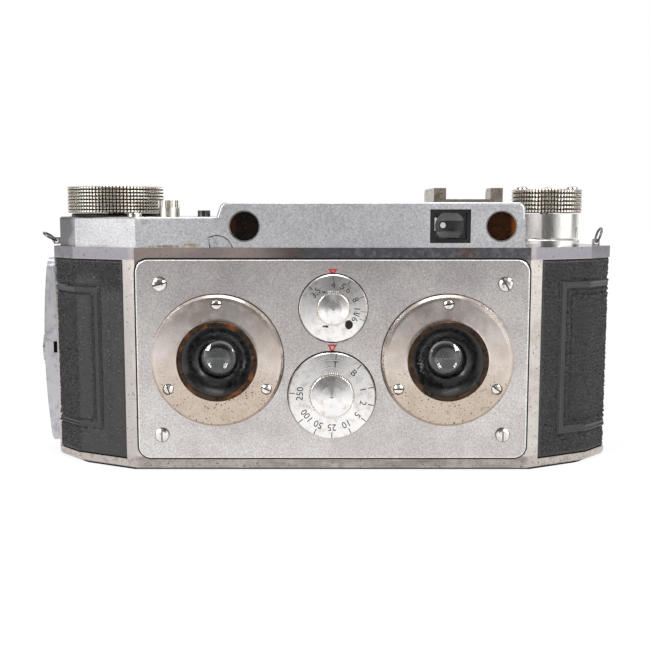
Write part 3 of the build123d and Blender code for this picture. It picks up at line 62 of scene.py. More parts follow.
def hexToLinear(code):
    # sRGB hex to linear light: the standard curve, straight below 0.04045
    channels = np.array([int(code[i:i + 2], 16) for i in (1, 3, 5)]) / 255
    linear = np.where(channels <= 0.04045, channels / 12.92, ((channels + 0.055) / 1.055) ** 2.4)
    return (*linear.tolist(), 1.0)


def inMetres(place):
    return tuple(c * mm for c in place)


def perMm(size):
    # scale of a texture on metre coordinates whose grain is size millimetres wide
    return 1.0 / (size * mm)


def meshFromGrid(points, loopU=False, loopV=False):
    # points[i, j] is a grid of positions; each cell of four neighbours becomes one face
    rows, columns = points.shape[:2]
    index = np.arange(rows * columns).reshape(rows, columns)
    if loopU:
        index = np.vstack([index, index[:1]])
    if loopV:
        index = np.hstack([index, index[:, :1]])
    faces = np.stack([index[:-1, :-1], index[1:, :-1], index[1:, 1:], index[:-1, 1:]], axis=-1).reshape(-1, 4)
    return points.reshape(-1, 3), faces


def joinMeshes(parts):
    # several point and face arrays as one, with the face numbers moved up
    points, faces = zip(*parts)
    starts = np.cumsum([0] + [len(some) for some in points])
    return np.vstack(points), np.vstack([some + start for some, start in zip(faces, starts)])


def inScene(name, data):
    holder = bpy.data.objects.new(name, data)
    bpy.context.scene.collection.objects.link(holder)
    return holder


def addPiece(name, points, faces, body, slot, material, sharpAngle=35, merge=True, replaces=(),
             attributes=None, wall=0.0, wallSide=-1):
    # makes one piece from points and faces, and says what it rides on and what it stands for
    mesh = bpy.data.meshes.new(name)
    mesh.from_pydata((points * mm).tolist(), [], faces.tolist())
    for key, values in (attributes or {}).items():
        layer = mesh.attributes.new(key, "FLOAT", "POINT")
        layer.data.foreach_set("value", values.astype(np.float32).ravel())
    if merge:
        work = bmesh.new()
        work.from_mesh(mesh)
        bmesh.ops.remove_doubles(work, verts=work.verts, dist=0.0005 * mm)
        bmesh.ops.recalc_face_normals(work, faces=work.faces)
        work.to_mesh(mesh)
        work.free()
    mesh.polygons.foreach_set("use_smooth", [True] * len(mesh.polygons))
    mesh.set_sharp_from_angle(angle=math.radians(sharpAngle))
    mesh.materials.append(material)
    piece = inScene(name, mesh)
    if wall:
        solid = piece.modifiers.new("wall", "SOLIDIFY")
        solid.thickness = wall * mm
        solid.offset = wallSide
    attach(piece, body)
    if replaces:
        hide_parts(*replaces)
    return piece


def roundAxis(radius, height, turns, centre, axis):
    # a grid over turn and height: position = centre + radius turned + height along the axis
    across, up = radius * np.cos(turns)[:, None], radius * np.sin(turns)[:, None]
    along = np.broadcast_to(height, across.shape)
    turned = [across, up, along] if axis == "z" else [across, along, up]
    return np.stack(turned, axis=-1) + np.array(centre)


def revolved(profile, centre, axis, segments=96):
    # a profile of (radius, height) carried round an axis
    radius, height = np.array(profile, float).T[:, None]
    turns = np.linspace(0, 2 * np.pi, segments, endpoint=False)
    return meshFromGrid(roundAxis(radius, height, turns, centre, axis), loopU=True)


def addNode(tree, kind, inputs=None, out=0, stops=(), **settings):
    # adds one node with its settings, its inputs (linked where a socket is given, set where a value is) and
    # its colour stops, and gives back one output
    node = tree.nodes.new("ShaderNode" + kind)
    for key, value in settings.items():
        setattr(node, key, value)
    for key, value in (inputs or {}).items():
        if isinstance(value, bpy.types.NodeSocket):
            tree.links.new(value, node.inputs[key])
        else:
            node.inputs[key].default_value = value
    for _ in stops[2:]:
        node.color_ramp.elements.new(0.5)
    for element, (position, level) in zip(node.color_ramp.elements if stops else (), stops):
        element.position = position
        element.color = (level, level, level, 1)
    return node.outputs[out]


def newMaterial(name, **sockets):
    # a node material whose even values are set straight on the shader's sockets
    material = bpy.data.materials.new(name)
    material.use_nodes = True
    tree = material.node_tree
    shader = tree.nodes["Principled BSDF"]
    for key, value in sockets.items():
        shader.inputs[key.replace("_", " ")].default_value = value
    where = addNode(tree, "TexCoord", out="Object")
    return material, tree, shader, where


def patchMask(tree, where, size, low, high, detail=4.0, stretch=None):
    # soft patches about size millimetres across: 0 where the noise is under low, 1 where it is over high
    if stretch:
        where = addNode(tree, "Mapping", {"Vector": where, "Scale": stretch})
    noise = addNode(tree, "TexNoise", {"Vector": where, "Scale": perMm(size), "Detail": detail,
                                       "Roughness": 0.62})
    return addNode(tree, "MapRange", {"Value": noise, "From Min": low, "From Max": high}, **softly)


def alongAxis(tree, where, axis, low, high):
    # 0 before low and 1 past high along one axis, falling instead where low is the larger number
    place = addNode(tree, "SeparateXYZ", {"Vector": where}, out=axis)
    return addNode(tree, "MapRange", {"Value": place, "From Min": low * mm, "From Max": high * mm}, **softly)


def overlap(tree, *masks):
    # where every mask is 1
    result = masks[0]
    for mask in masks[1:]:
        result = addNode(tree, "Math", {0: result, 1: mask}, operation="MULTIPLY")
    return result


def spotMask(tree, where, centre, reach, size, low, high):
    # 1 near centre and 0 past reach in each direction, broken up by noise of the given size
    shift = addNode(tree, "VectorMath", {0: where, 1: inMetres(centre)}, operation="SUBTRACT")
    scaled = addNode(tree, "VectorMath", {0: shift, 1: inMetres(reach)}, operation="DIVIDE")
    far = addNode(tree, "VectorMath", {0: scaled}, out="Value", operation="LENGTH")
    near = addNode(tree, "MapRange", {"Value": far, "From Min": 1.0, "From Max": 0.2})
    noise = addNode(tree, "TexNoise", {"Vector": where, "Scale": perMm(size), "Detail": 4.0,
                                       "Roughness": 0.65})
    broken = overlap(tree, near, noise)
    return addNode(tree, "MapRange", {"Value": broken, "From Min": low, "From Max": high}, **softly)


def layered(tree, ground, layers):
    # the ground colour with each layer's colour laid over it where that layer's mask is 1
    colour = hexToLinear(ground)
    for mask, code in layers:
        colour = addNode(tree, "Mix", {0: mask, 6: colour, 7: hexToLinear(code)}, out=2, data_type="RGBA")
    return colour


def dress(tree, shader, colour, rough=None, roughFrom=0, roughTo=1, height=None, depth=0, strength=1):
    # joins patterns to the shader: colour, roughness spread between two values, and relief of a real depth
    tree.links.new(colour, shader.inputs["Base Color"])
    if rough is not None:
        spread = addNode(tree, "MapRange", {"Value": rough, "To Min": roughFrom, "To Max": roughTo})
        tree.links.new(spread, shader.inputs["Roughness"])
    if height is not None:
        relief = addNode(tree, "Bump", {"Height": height, "Distance": depth * mm, "Strength": strength})
        tree.links.new(relief, shader.inputs["Normal"])


def blastedChrome(name, ground, cloud, roughFrom, roughTo, grain=0.42, sparkle=0.36, stainsAndShade=(), rim=None):
    # chrome over finely blasted brass: an even soft grey sheen with a fine sparkle, and, where a rim is
    # given, a painted highlight along its edges
    material, tree, shader, where = newMaterial(name, Metallic=1.0)
    noise = addNode(tree, "TexNoise", {"Vector": where, "Scale": perMm(grain), "Detail": 3.0,
                                       "Roughness": 0.75})
    layers = [(patchMask(tree, where, 19, 0.36, 0.66, detail=3.0), cloud)]
    layers += [(spotMask(tree, where, *place), colour) for colour, *place in stainsAndShade]
    # painted highlight: a near white band along the rounded edge, standing for the light its rounding catches
    if rim:
        layers.append((rimMask(tree, where, **rim), "#f4f3f1"))
    tone = addNode(tree, "MapRange", {"Value": noise, "From Min": 0.3, "From Max": 0.68,
                                      "To Min": 1.0 - sparkle, "To Max": 1.0 + 0.6 * sparkle})
    base = layered(tree, ground, layers)
    colour = addNode(tree, "Mix", {0: 1.0, 6: base, 7: tone}, out=2, data_type="RGBA", blend_type="MULTIPLY")
    dress(tree, shader, colour, noise, roughFrom, roughTo, noise, 0.03, 0.3)
    return material


def rimMask(tree, where, centre, half, radius, wide):
    # 1 within wide of the outline of a rounded rectangle in X and Z, where the distance inside it is
    # radius - length(max(|p - centre| - (half - radius), 0))
    middle = inMetres((centre[0], 0, centre[1]))
    shift = addNode(tree, "VectorMath", {0: where, 1: middle}, operation="SUBTRACT")
    side = addNode(tree, "VectorMath", {0: shift}, operation="ABSOLUTE")
    core = ((half[0] - radius) * mm, 10.0, (half[1] - radius) * mm)
    past = addNode(tree, "VectorMath", {0: side, 1: core}, operation="SUBTRACT")
    outside = addNode(tree, "VectorMath", {0: past, 1: (0, 0, 0)}, operation="MAXIMUM")
    length = addNode(tree, "VectorMath", {0: outside}, out="Value", operation="LENGTH")
    return addNode(tree, "MapRange", {"Value": length, "From Min": (radius - wide) * mm,
                                      "From Max": (radius - 0.4 * wide) * mm}, **softly)


def castAlloy():
    # light alloy casting, polished once, dulled by hands: brown-grey tarnish, dark specks, and painted shade
    # along the bottom edge
    material, tree, shader, where = newMaterial("wornPolishedAlloy", Metallic=1.0)
    split = addNode(tree, "VectorMath", {0: where}, operation="ABSOLUTE")
    # coordinate, axis, where each zone begins and where it is full
    zones = {"facet": (split, 0, 55, 58), "front": (split, 0, 57.5, 54.5), "high": (where, 2, 60.0, 60.6),
             "foot": (where, 2, 4.2, 3.4), "paintedShadeSole": (where, 2, 0.75, 0.35), "left": (where, 0, 10, 0),
             "bluish": (where, 0, -24, -14), "warm": (where, 0, -8, -26)}
    zone = {key: alongAxis(tree, *place) for key, place in zones.items()}
    streaks = patchMask(tree, where, 4.5, 0.36, 0.7, detail=5.0, stretch=(0.3, 1, 1))
    blotches = patchMask(tree, where, 1.6, 0.45, 0.7, detail=5.0)
    specks = patchMask(tree, where, 0.75, 0.64, 0.7, detail=2.0)
    clouds = patchMask(tree, where, 14, 0.36, 0.52)
    head = overlap(tree, zone["front"], zone["high"])
    foot = overlap(tree, zone["foot"], zone["front"])
    colour = layered(tree, "#d6d0ca", [
        (streaks, "#c2b9b2"), (overlap(tree, zone["facet"], zone["left"]), "#c3bcb9"),
        (overlap(tree, zone["facet"], zone["high"]), "#938f96"), (head, "#a3938d"),
        (overlap(tree, head, streaks), "#8d8280"), (overlap(tree, head, zone["bluish"], clouds), "#96979f"),
        (zone["foot"], "#c0b8b1"), (overlap(tree, zone["foot"], blotches), "#9c938c"),
        (foot, "#b3aba4"), (overlap(tree, foot, streaks), "#857d78"),
        # painted shade: the lowest few tenths of a millimetre are near black
        (overlap(tree, foot, blotches), "#988f87"), (specks, "#6a605a"), (zone["paintedShadeSole"], "#262429")])
    warmHead = overlap(tree, head, zone["warm"])
    dull = addNode(tree, "Math", {0: overlap(tree, blotches, 0.35), 1: warmHead}, operation="MAXIMUM")
    dress(tree, shader, colour, dull, 0.17, 0.46, blotches, 0.015, 0.3)
    return material


def radiusFrom(tree, offset):
    # distance from an axis that runs front to back
    flat = addNode(tree, "VectorMath", {0: offset, 1: (1, 0, 1)}, operation="MULTIPLY")
    return addNode(tree, "VectorMath", {0: flat}, out="Value", operation="LENGTH")


def coneRelief(tree, shader, radius, cone, pattern, depth):
    # a face that falls away from its middle: height = pattern * depth - radius * tan(cone)
    fall = addNode(tree, "Math", {0: radius, 1: -math.tan(math.radians(cone))}, operation="MULTIPLY")
    height = addNode(tree, "Math", {0: pattern, 1: depth * mm, 2: fall}, operation="MULTIPLY_ADD")
    relief = addNode(tree, "Bump", {"Height": height, "Distance": 1.0, "Strength": 1.0})
    tree.links.new(relief, shader.inputs["Normal"])


def pittedNickel(centre, cone):
    # nickel plate rubbed by wiping: warm where it has thinned, with pin holes of rust in its lower half
    material, tree, shader, where = newMaterial("pittedNickelPlate", Metallic=1.0)
    warm = patchMask(tree, where, 8, 0.36, 0.64)
    wiped = patchMask(tree, where, 3.5, 0.4, 0.7, detail=5.0)
    low = alongAxis(tree, where, 2, 34, 20)
    pits = patchMask(tree, where, 0.62, 0.61, 0.67, detail=2.0)
    rust = patchMask(tree, where, 0.3, 0.55, 0.7, detail=3.0)
    colour = layered(tree, "#e8dfd9", [
        (warm, "#d9cbc1"), (low, "#cfc0b1"), (overlap(tree, wiped, low), "#c6b5a3"),
        (overlap(tree, rust, low), "#ae9c8c"), (overlap(tree, pits, low), "#6e5c50")])
    dress(tree, shader, colour, wiped, 0.24, 0.3)
    # the face is buffed a little round: it falls away from the bezel, and the pin holes are dents
    side = addNode(tree, "VectorMath", {0: where}, operation="ABSOLUTE")
    offset = addNode(tree, "VectorMath", {0: side, 1: inMetres(centre * [1, 0, 1])}, operation="SUBTRACT")
    coneRelief(tree, shader, radiusFrom(tree, offset), cone, overlap(tree, pits, low), -0.01)
    return material


def spunChrome(name, centre, cone, marks=()):
    # chrome dial face turned on a lathe: hair lines round the centre spread light along the radius, and the
    # face falls away from the middle as a very flat cone
    material, tree, shader, where = newMaterial(name, Metallic=1.0, Anisotropic=0.88)
    offset = addNode(tree, "VectorMath", {0: where, 1: inMetres(centre)}, operation="SUBTRACT")
    around = addNode(tree, "VectorMath", {0: offset, 1: (0, 1, 0)}, operation="CROSS_PRODUCT")
    turned = addNode(tree, "VectorTransform", {"Vector": around}, vector_type="VECTOR", convert_from="OBJECT",
                     convert_to="WORLD")
    tree.links.new(turned, shader.inputs["Tangent"])
    radius = radiusFrom(tree, offset)
    rings = addNode(tree, "TexNoise", {"W": radius, "Scale": perMm(0.3), "Detail": 2.0},
                    noise_dimensions="1D")
    worn = patchMask(tree, where, 2.0, 0.45, 0.75)
    layers = [(worn, "#d9d0ca")]
    layers += [(spotMask(tree, where, *place), colour) for colour, *place in marks]
    dress(tree, shader, layered(tree, "#f6f4f3", layers), rings, 0.15, 0.27)
    coneRelief(tree, shader, radius, cone, rings, 0.006)
    return material


def knurledNickel(name, ground="#f0ebe3", warm="#d8cebf", grooveDark="#251e17"):
    # nickel over brass: bright on the rubbed tips, brown-black down in the grooves
    material, tree, shader, where = newMaterial(name, Metallic=1.0)
    deep = addNode(tree, "Attribute", attribute_name="grooveDark", out="Fac")
    sunk = addNode(tree, "MapRange", {"Value": deep, "From Min": 0.3, "From Max": 0.85}, **softly)
    patches = patchMask(tree, where, 3.2, 0.38, 0.7)
    dress(tree, shader, layered(tree, ground, [(patches, warm), (sunk, grooveDark)]), patches, 0.2, 0.36)
    return material


def turnedSteel(name, ground, shade, lines=(1, 1, 0.1), roughFrom=0.18, roughTo=0.3):
    # plain turned and plated steel: a clear sheen with hair lines along one direction and a little tarnish
    material, tree, shader, where = newMaterial(name, Metallic=1.0)
    tarnish = patchMask(tree, where, 2.6, 0.45, 0.74)
    hair = patchMask(tree, where, 0.5, 0.3, 0.7, detail=2.0, stretch=lines)
    dress(tree, shader, layered(tree, ground, [(tarnish, shade)]), hair, roughFrom, roughTo, hair, 0.004, 0.3)
    return material


def slottedScrew(name, front, slotDeep):
    # nickelled steel screw, near black at the bottom of its slot
    material, tree, shader, where = newMaterial(name, Metallic=1.0)
    handled = patchMask(tree, where, 1.1, 0.4, 0.75)
    slotDark = alongAxis(tree, where, 1, front + 0.5 * slotDeep, front + 0.85 * slotDeep)
    colour = layered(tree, "#efedea", [(handled, "#c9c0b6"), (slotDark, "#120f0c")])
    dress(tree, shader, colour, handled, 0.12, 0.26)
    return material


def rubbedBronze():
    # brown-black oxidised brass barrel, rubbed back to orange metal in short stretches of its rim
    material, tree, shader, where = newMaterial("oxidisedBrassBarrel", Metallic=1.0)
    rubbed = patchMask(tree, where, 3.8, 0.48, 0.64)
    dull = patchMask(tree, where, 1.2, 0.42, 0.7)
    left = overlap(tree, rubbed, alongAxis(tree, where, 0, 5, -5))
    colour = layered(tree, "#4a3c32", [(dull, "#2a221c"), (rubbed, "#5e4737"), (left, "#8c5235")])
    dress(tree, shader, colour, dull, 0.28, 0.42)
    return material


def stovedEnamel():
    # stove enamel on turned brass: deep black with a clear gloss
    material, tree, shader, where = newMaterial("glossBlackEnamel", Coat_Weight=0.15, Coat_Roughness=0.15)
    shade = patchMask(tree, where, 1.5, 0.3, 0.7)
    dress(tree, shader, layered(tree, "#060607", [(shade, "#0f0e10")]), shade, 0.2, 0.34)
    return material


def mattLacquer(name="mattBlackLacquer", ground="#0c0b0b", shade="#1b1918"):
    # black lacquer, flat so that it throws no light about
    material, tree, shader, where = newMaterial(name, Specular_IOR_Level=0.3)
    shadeMask = patchMask(tree, where, 4.0, 0.35, 0.65)
    grit = patchMask(tree, where, 0.5, 0.3, 0.7, detail=2.0)
    dress(tree, shader, layered(tree, ground, [(shadeMask, shade)]), grit, 0.5, 0.7, grit, 0.02, 0.4)
    return material


def machinedBrass():
    # plain machined brass of the works, a little dull
    material, tree, shader, where = newMaterial("machinedBrass", Metallic=1.0)
    dull = patchMask(tree, where, 2.6, 0.35, 0.68)
    dress(tree, shader, layered(tree, "#b4955c", [(dull, "#7f6538")]), dull, 0.26, 0.45)
    return material


def goatLeather(name, ground, rubbed, pebble, gloss):
    # goat leather dyed black and pressed: rounded pebbles that catch the light, and painted shade making the
    # creases between them near black
    material, tree, shader, where = newMaterial(name, Specular_IOR_Level=0.7)
    creaseShade = addNode(tree, "Attribute", attribute_name="creaseShade", out="Fac")
    handled = patchMask(tree, where, 8, 0.4, 0.7)
    cells = addNode(tree, "TexVoronoi", {"Vector": where, "Scale": perMm(pebble), "Randomness": 0.9},
                    feature="SMOOTH_F1", out="Distance")
    fine = addNode(tree, "TexNoise", {"Vector": where, "Scale": perMm(0.35), "Detail": 2.0})
    smooth = addNode(tree, "Attribute", attribute_name="smooth", out="Fac")
    rise = addNode(tree, "Math", {0: cells, 1: -0.75, 2: fine}, operation="MULTIPLY_ADD")
    level = addNode(tree, "Mix", {0: smooth, 2: rise, 3: 0.0}, data_type="FLOAT")
    # painted shade: the creases and the pressed grooves are coloured near black
    colour = layered(tree, ground, [(handled, rubbed), (creaseShade, "#040404")])
    dress(tree, shader, colour, handled, gloss, gloss + 0.12, level, 0.45, 1.0)
    return material


def flintGlass():
    # polished heavy flint glass, uncoated, so it mirrors the room strongly, with the faint haze of wiping
    material, tree, shader, where = newMaterial("polishedOpticalGlass", IOR=1.86, Transmission_Weight=1.0)
    haze = patchMask(tree, where, 1.6, 0.3, 0.8)
    dress(tree, shader, layered(tree, "#f0f3f3", [(haze, "#e8ebeb")]), haze, 0.0, 0.04)
    return material


def backedGlass(name, ground, glow, glintFrom, glintTo, fleck):
    # flat finder glass with dark works behind it: a deep colour under a clear gloss, with a painted glint
    # lightening it towards one side
    material, tree, shader, where = newMaterial(name, Roughness=0.06, Specular_IOR_Level=0.3)
    side = alongAxis(tree, where, 0, glintFrom, glintTo)
    depth = patchMask(tree, where, 2.4, 0.35, 0.66)
    dust = patchMask(tree, where, 0.5, 0.69, 0.76, detail=1.0)
    dress(tree, shader, layered(tree, ground, [(depth, fleck), (side, glow), (dust, "#45362a")]))
    return material


def linePaint(name, ground, worn):
    # enamel flowed into an engraved line, thinner in places
    material, tree, shader, where = newMaterial(name, Roughness=0.4)
    thin = patchMask(tree, where, 0.6, 0.5, 0.8, detail=2.0)
    dress(tree, shader, layered(tree, ground, [(thin, worn)]))
    return material


apertureCentre, speedCentre = middleOf("aperture_dial"), middleOf("speed_dial")
plateLow, plateHigh = boxOf("front_plate")
ringLow, ringHigh = boxOf("lens_ring_right")
windowX = middleOf("window_right")[0]
ax, ay, az = apertureCentre

# colour, centre, reach, grain, and the noise where the spot begins and where it is full
seamStainsAndEndShade = [
    ("#a8935f", (-39.6, -22, 64.4), (4.6, 3, 1.3), 1.3, 0.2, 0.6),
    ("#9c8e76", (-47.0, -22, 64.1), (9.0, 3, 0.8), 1.0, 0.2, 0.6),
    ("#b3aa98", (-52.6, -22, 71.0), (2.4, 3, 1.5), 0.7, 0.2, 0.75),
    # painted shade: this grey patch darkens the housing's left end; it is no stain
    ("#8f8e90", (-81, -6, 69.0), (9, 11, 14), 9, 0.1, 0.3),
    ("#b3a998", (-66, -14, 64.0), (12, 9, 0.6), 1.2, 0.2, 0.7),
]
dialWear = [
    ("#35322f", (ax + 4.35, ay - 1, az - 4.5), (1.55, 4, 1.8), 2.5, 0.12, 0.2),
    ("#3b3631", (ax - 2.2, ay - 1, az - 5.0), (1.7, 4, 0.7), 0.6, 0.2, 0.42),
    ("#3b3631", (ax - 2.4, ay - 1, az + 4.6), (1.9, 4, 0.6), 0.6, 0.2, 0.42),
]
plateCorner = 3.5
# painted highlight along the front plate's edge: the rounded outline and the width of the band
plateRimHighlight = {"centre": (plateLow + plateHigh)[::2] / 2, "half": (plateHigh - plateLow)[::2] / 2,
            "radius": plateCorner, "wide": 0.55}
# slope of the dial faces and of the lens rings in degrees, and the depth of the screws' slots
dialCone, ringCone = 3.5, 10.0
plateSlot, ringSlot = 0.6, 0.45
plateChrome = blastedChrome("blastedChromePlate", "#e0dbd9", "#cfc8c7", 0.26, 0.35, rim=plateRimHighlight)
housingChrome = blastedChrome("blastedChromeHousing", "#d6d6d8", "#c9c9cc", 0.38, 0.48, stainsAndShade=seamStainsAndEndShade)
coverChrome = turnedSteel("brushedSideCover", "#c6c5c8", "#a3a2ab", (1, 1, 0.06), 0.24, 0.42)
alloy = castAlloy()
nickel = pittedNickel(middleOf("lens_ring_right"), ringCone)
knobMetal = knurledNickel("knurledNickel")
wheelMetal = knurledNickel("knurledWheel", "#d8d3cd", "#b0a698", "#15110d")
collarMetal = turnedSteel("turnedNickelCollar", "#e6e3df", "#d6d0c8", (1, 1, 0.1), 0.12, 0.22)
shoeMetal = turnedSteel("milledNickelShoe", "#a89d91", "#857a6c", (1, 0.1, 1), 0.26, 0.4)
darkSteel = turnedSteel("darkenedSteel", "#77736f", "#4f4843", (1, 1, 1))
# painted shade: the base ring under the winding knob is coloured near black for the knob's shade on it
shadowSteel = turnedSteel("paintedShadeSteel", "#3a342d", "#1d1915", (1, 1, 1), 0.3, 0.45)
brass = machinedBrass()
barrelBrass = rubbedBronze()
enamel = stovedEnamel()
lacquer = mattLacquer()
# painted shade: near black lacquer for the bands in the seams
seamShadeBlack = mattLacquer("paintedSeamShade", "#040405", "#0b0a0c")
glass = flintGlass()
# painted glint: the dark window turns brown towards its left edge, the amber one orange towards its right
# edge
darkWindow = backedGlass("darkWindowGlass", "#080605", "#2b1509", -26.5, -28.5, "#140b07")
amberWindow = backedGlass("amberWindowGlass", "#190a04", "#67350d", windowX + 2.3, windowX + 3.9, "#281105")
redPaint = linePaint("redEnamel", "#a80d14", "#8a0c12")
blackPaint = linePaint("blackFilling", "#0b0a0a", "#26231f")
apertureChrome = spunChrome("spunChromeAperture", apertureCentre, dialCone, dialWear)
speedChrome = spunChrome("spunChromeSpeed", speedCentre, dialCone)
plateScrewMetal = slottedScrew("nickelledPlateScrew", boxOf("front_plate_screws")[0][1], plateSlot)
ringScrewMetal = slottedScrew("nickelledRingScrew", boxOf("lens_ring_screws")[0][1], ringSlot)

finishes = {
    alloy: ["body_shell", "base_plate", "back_cover"],
    plateChrome: ["front_plate"],
    housingChrome: ["top_housing", "selector_lever"],
    coverChrome: ["side_cover"],
    plateScrewMetal: ["front_plate_screws"],
    ringScrewMetal: ["lens_ring_screws"],
    nickel: ["lens_ring_left", "lens_ring_right"],
    apertureChrome: ["aperture_dial"],
    speedChrome: ["speed_dial"],
    knobMetal: ["tripod_bush", "winding_knob", "rewind_knob", "shutter_release"],
    wheelMetal: ["focus_wheel"],
    collarMetal: ["housing_screws", "rocker_shaft", "winding_shaft", "sprocket_shaft", "back_hinge_pin",
                  "rewind_base_ring", "rewind_collar", "back_latch", "strap_lugs"],
    shoeMetal: ["accessory_shoe"],
    darkSteel: ["strap_ring_left", "strap_ring_right", "rewind_button"],
    shadowSteel: ["winding_base_ring"],
    brass: ["aperture_arbor", "speed_arbor", "mechanism_plate", "focus_carrier", "rangefinder_arm",
            "rangefinder_base"],
    barrelBrass: ["front_cells"],
    lacquer: ["rear_cells", "aperture_slide_front", "aperture_slide_rear", "shutter_frame", "opening_blade",
              "closing_blade", "viewfinder_frame", "eyepieces", "take_up_spool", "film_gate", "light_boxes",
              "pressure_plate", "distance_drum"],
    glass: ["front_elements", "rear_elements", "finder_glasses"],
    darkWindow: ["window_left"],
    amberWindow: ["window_right"],
}
for material, names in finishes.items():
    for name in names:
        nodes[name].data.materials.clear()
        nodes[name].data.materials.append(material)
print("materials")


def knurledKnob(spec):
    # radius over turn and height: the plain radius less depth, except where a tooth round the rim and a row
    # up the side are both at their tip, so that each crossing is a flat-topped pyramid
    full, depth, low, top, dish = (spec[key] for key in ("radius", "depth", "low", "top", "dish"))
    shares = np.array([0.0, 0.29, 0.71])  # the groove's bottom, then the start and the end of the flat tip
    tips = np.array([0.0, 1.0, 1.0])
    turns = ((np.arange(spec["teeth"])[:, None] + shares) / spec["teeth"] * 2 * np.pi).ravel()
    rowHigh = (top - low) / spec["rows"]
    heights = (low + (np.arange(spec["rows"])[:, None] + shares) * rowHigh).ravel()
    below = [(0.0, low), (full - depth - 0.15, low)]
    inner = full - spec["rim"]
    above = [(full - depth, top), (inner, top), (inner - 0.5, top - dish), (0.0, top - dish)]
    plain = np.array([r for r, _ in below] + [full] * len(heights) + [r for r, _ in above])
    level = np.array([z for _, z in below] + heights.tolist() + [z for _, z in above])
    band = np.repeat([0.0, 1.0, 0.0], [len(below), len(heights), len(above)])
    turnTip = np.tile(tips, spec["teeth"])
    rowAll = np.concatenate([np.ones(len(below)), np.tile(tips, spec["rows"]), np.ones(len(above))])
    deep = band[None, :] * (1 - np.outer(turnTip, rowAll))
    grid = roundAxis(plain - depth * deep, level, turns, (*spec["centre"], 0), "z")
    return *meshFromGrid(grid, loopU=True), deep.ravel()


windingLow, windingHigh = boxOf("winding_knob")
windingKnob = {
    "centre": middleOf("winding_knob")[:2], "radius": (windingHigh[0] - windingLow[0]) / 2,
    "low": windingLow[2], "top": windingHigh[2], "teeth": 88, "rows": 8, "depth": 0.42, "rim": 2.0,
    "dish": 0.6,
}
points, faces, deep = knurledKnob(windingKnob)
addPiece("windingKnobKnurled", points, faces, "winding", "chrome", knobMetal, 20, replaces=["winding_knob"],
         attributes={"grooveDark": deep})

rewindLow, rewindHigh = boxOf("rewind_knob")
collarTop = boxOf("rewind_collar")[1][2]
rewindKnob = {
    "centre": middleOf("rewind_knob")[:2], "radius": (rewindHigh[0] - rewindLow[0]) / 2,
    "low": collarTop + 0.3, "top": rewindHigh[2] - 0.95, "teeth": 68, "rows": 6, "depth": 0.42, "rim": 3.6,
    "dish": 0.15, "shaftRadius": 2.0, "shaftLow": rewindLow[2] + 7.0, "forkHalf": 2.6, "forkThick": 0.6,
    "forkHigh": 2.6,
}
unitBox = np.array([[x, y, z] for x in (0, 1) for y in (0, 1) for z in (0, 1)], float)
boxFaces = np.array([[0, 1, 3, 2], [4, 6, 7, 5], [0, 4, 5, 1], [2, 3, 7, 6], [0, 2, 6, 4], [1, 5, 7, 3]])


def rewindParts(spec):
    # the knurled knob, its shaft down through the collar, and the cassette's fork: a flat bar with its middle
    # cut away, made of three boxes
    knob, knobFaces, deep = knurledKnob(spec)
    low, high = spec["shaftLow"], spec["low"] + 0.2
    shaft = [(0, low), (spec["shaftRadius"], low), (spec["shaftRadius"], high), (0, high)]
    parts = [(knob, knobFaces), revolved(shaft, (*spec["centre"], 0), "z", 32)]
    half, thick, foot = spec["forkHalf"], spec["forkThick"], rewindLow[2]
    arm = foot + spec["forkHigh"]
    x, y = spec["centre"]
    boxes = ((-half, -half / 3, foot, arm), (half / 3, half, foot, arm), (-half, half, arm, low + 0.5))
    for x0, x1, z0, z1 in boxes:
        start, size = np.array([x + x0, y - thick, z0]), np.array([x1 - x0, 2 * thick, z1 - z0])
        parts.append((start + unitBox * size, boxFaces))
    points, faces = joinMeshes(parts)
    return points, faces, np.concatenate([deep, np.zeros(len(points) - len(deep))])


points, faces, deep = rewindParts(rewindKnob)
addPiece("rewindKnobKnurled", points, faces, "rewind_knob", "chrome", knobMetal, 20, replaces=["rewind_knob"],
         attributes={"grooveDark": deep})

rewindStuds = {"radius": 1.75, "pitch": 8.4, "turns": (77, 197, 317), "high": 0.95}
parts = []
for turn in np.radians(rewindStuds["turns"]):
    r, high = rewindStuds["radius"], rewindStuds["high"]
    x, y = np.array(rewindKnob["centre"]) + rewindStuds["pitch"] * np.array([math.cos(turn), math.sin(turn)])
    profile = [(0, -0.3), (r, -0.3), (r, 0.1), (r - 0.12, 0.5 * high), (0.55 * r, 0.92 * high), (0, high)]
    parts.append(revolved(profile, (x, y, rewindKnob["top"]), "z", 24))
addPiece("rewindKnobStuds", *joinMeshes(parts), "rewind_knob", "chrome", collarMetal, 20)
print("knobs")


def smoothStep(value, low, high):
    t = np.clip((value - low) / (high - low), 0, 1)
    return t * t * (3 - 2 * t)


def pebbles(u, v, cell, seed):
    # cell noise: each square cell of the sheet holds one random point; the value is the gap between the
    # distances to the second nearest and the nearest point, which is zero along the creases
    random = np.random.default_rng(seed)
    cellU, cellV = np.floor(u / cell).astype(int), np.floor(v / cell).astype(int)
    jitter = random.random((cellU.max() + 4, cellV.max() + 4, 2))
    distances = []
    for du in (-1, 0, 1):
        for dv in (-1, 0, 1):
            iu, iv = cellU + du, cellV + dv
            spot = jitter[iu + 1, iv + 1]
            distances.append(np.hypot((iu + spot[..., 0]) * cell - u, (iv + spot[..., 1]) * cell - v))
    nearest = np.sort(np.stack(distances), axis=0)
    return np.clip((nearest[1] - nearest[0]) / cell, 0, 0.5) * 2


def pressedFrames(edge, grooves, depth):
    # frames pressed into the leather: a narrow groove at each distance from the edge, with a low ridge thrown
    # up on its inner side
    height = np.zeros_like(edge)
    for place, share in grooves:
        height -= share * depth * np.exp(-((edge - place) / 0.3) ** 2)
        height += 0.9 * share * depth * np.exp(-((edge - place - 0.62) / 0.3) ** 2)
    return height


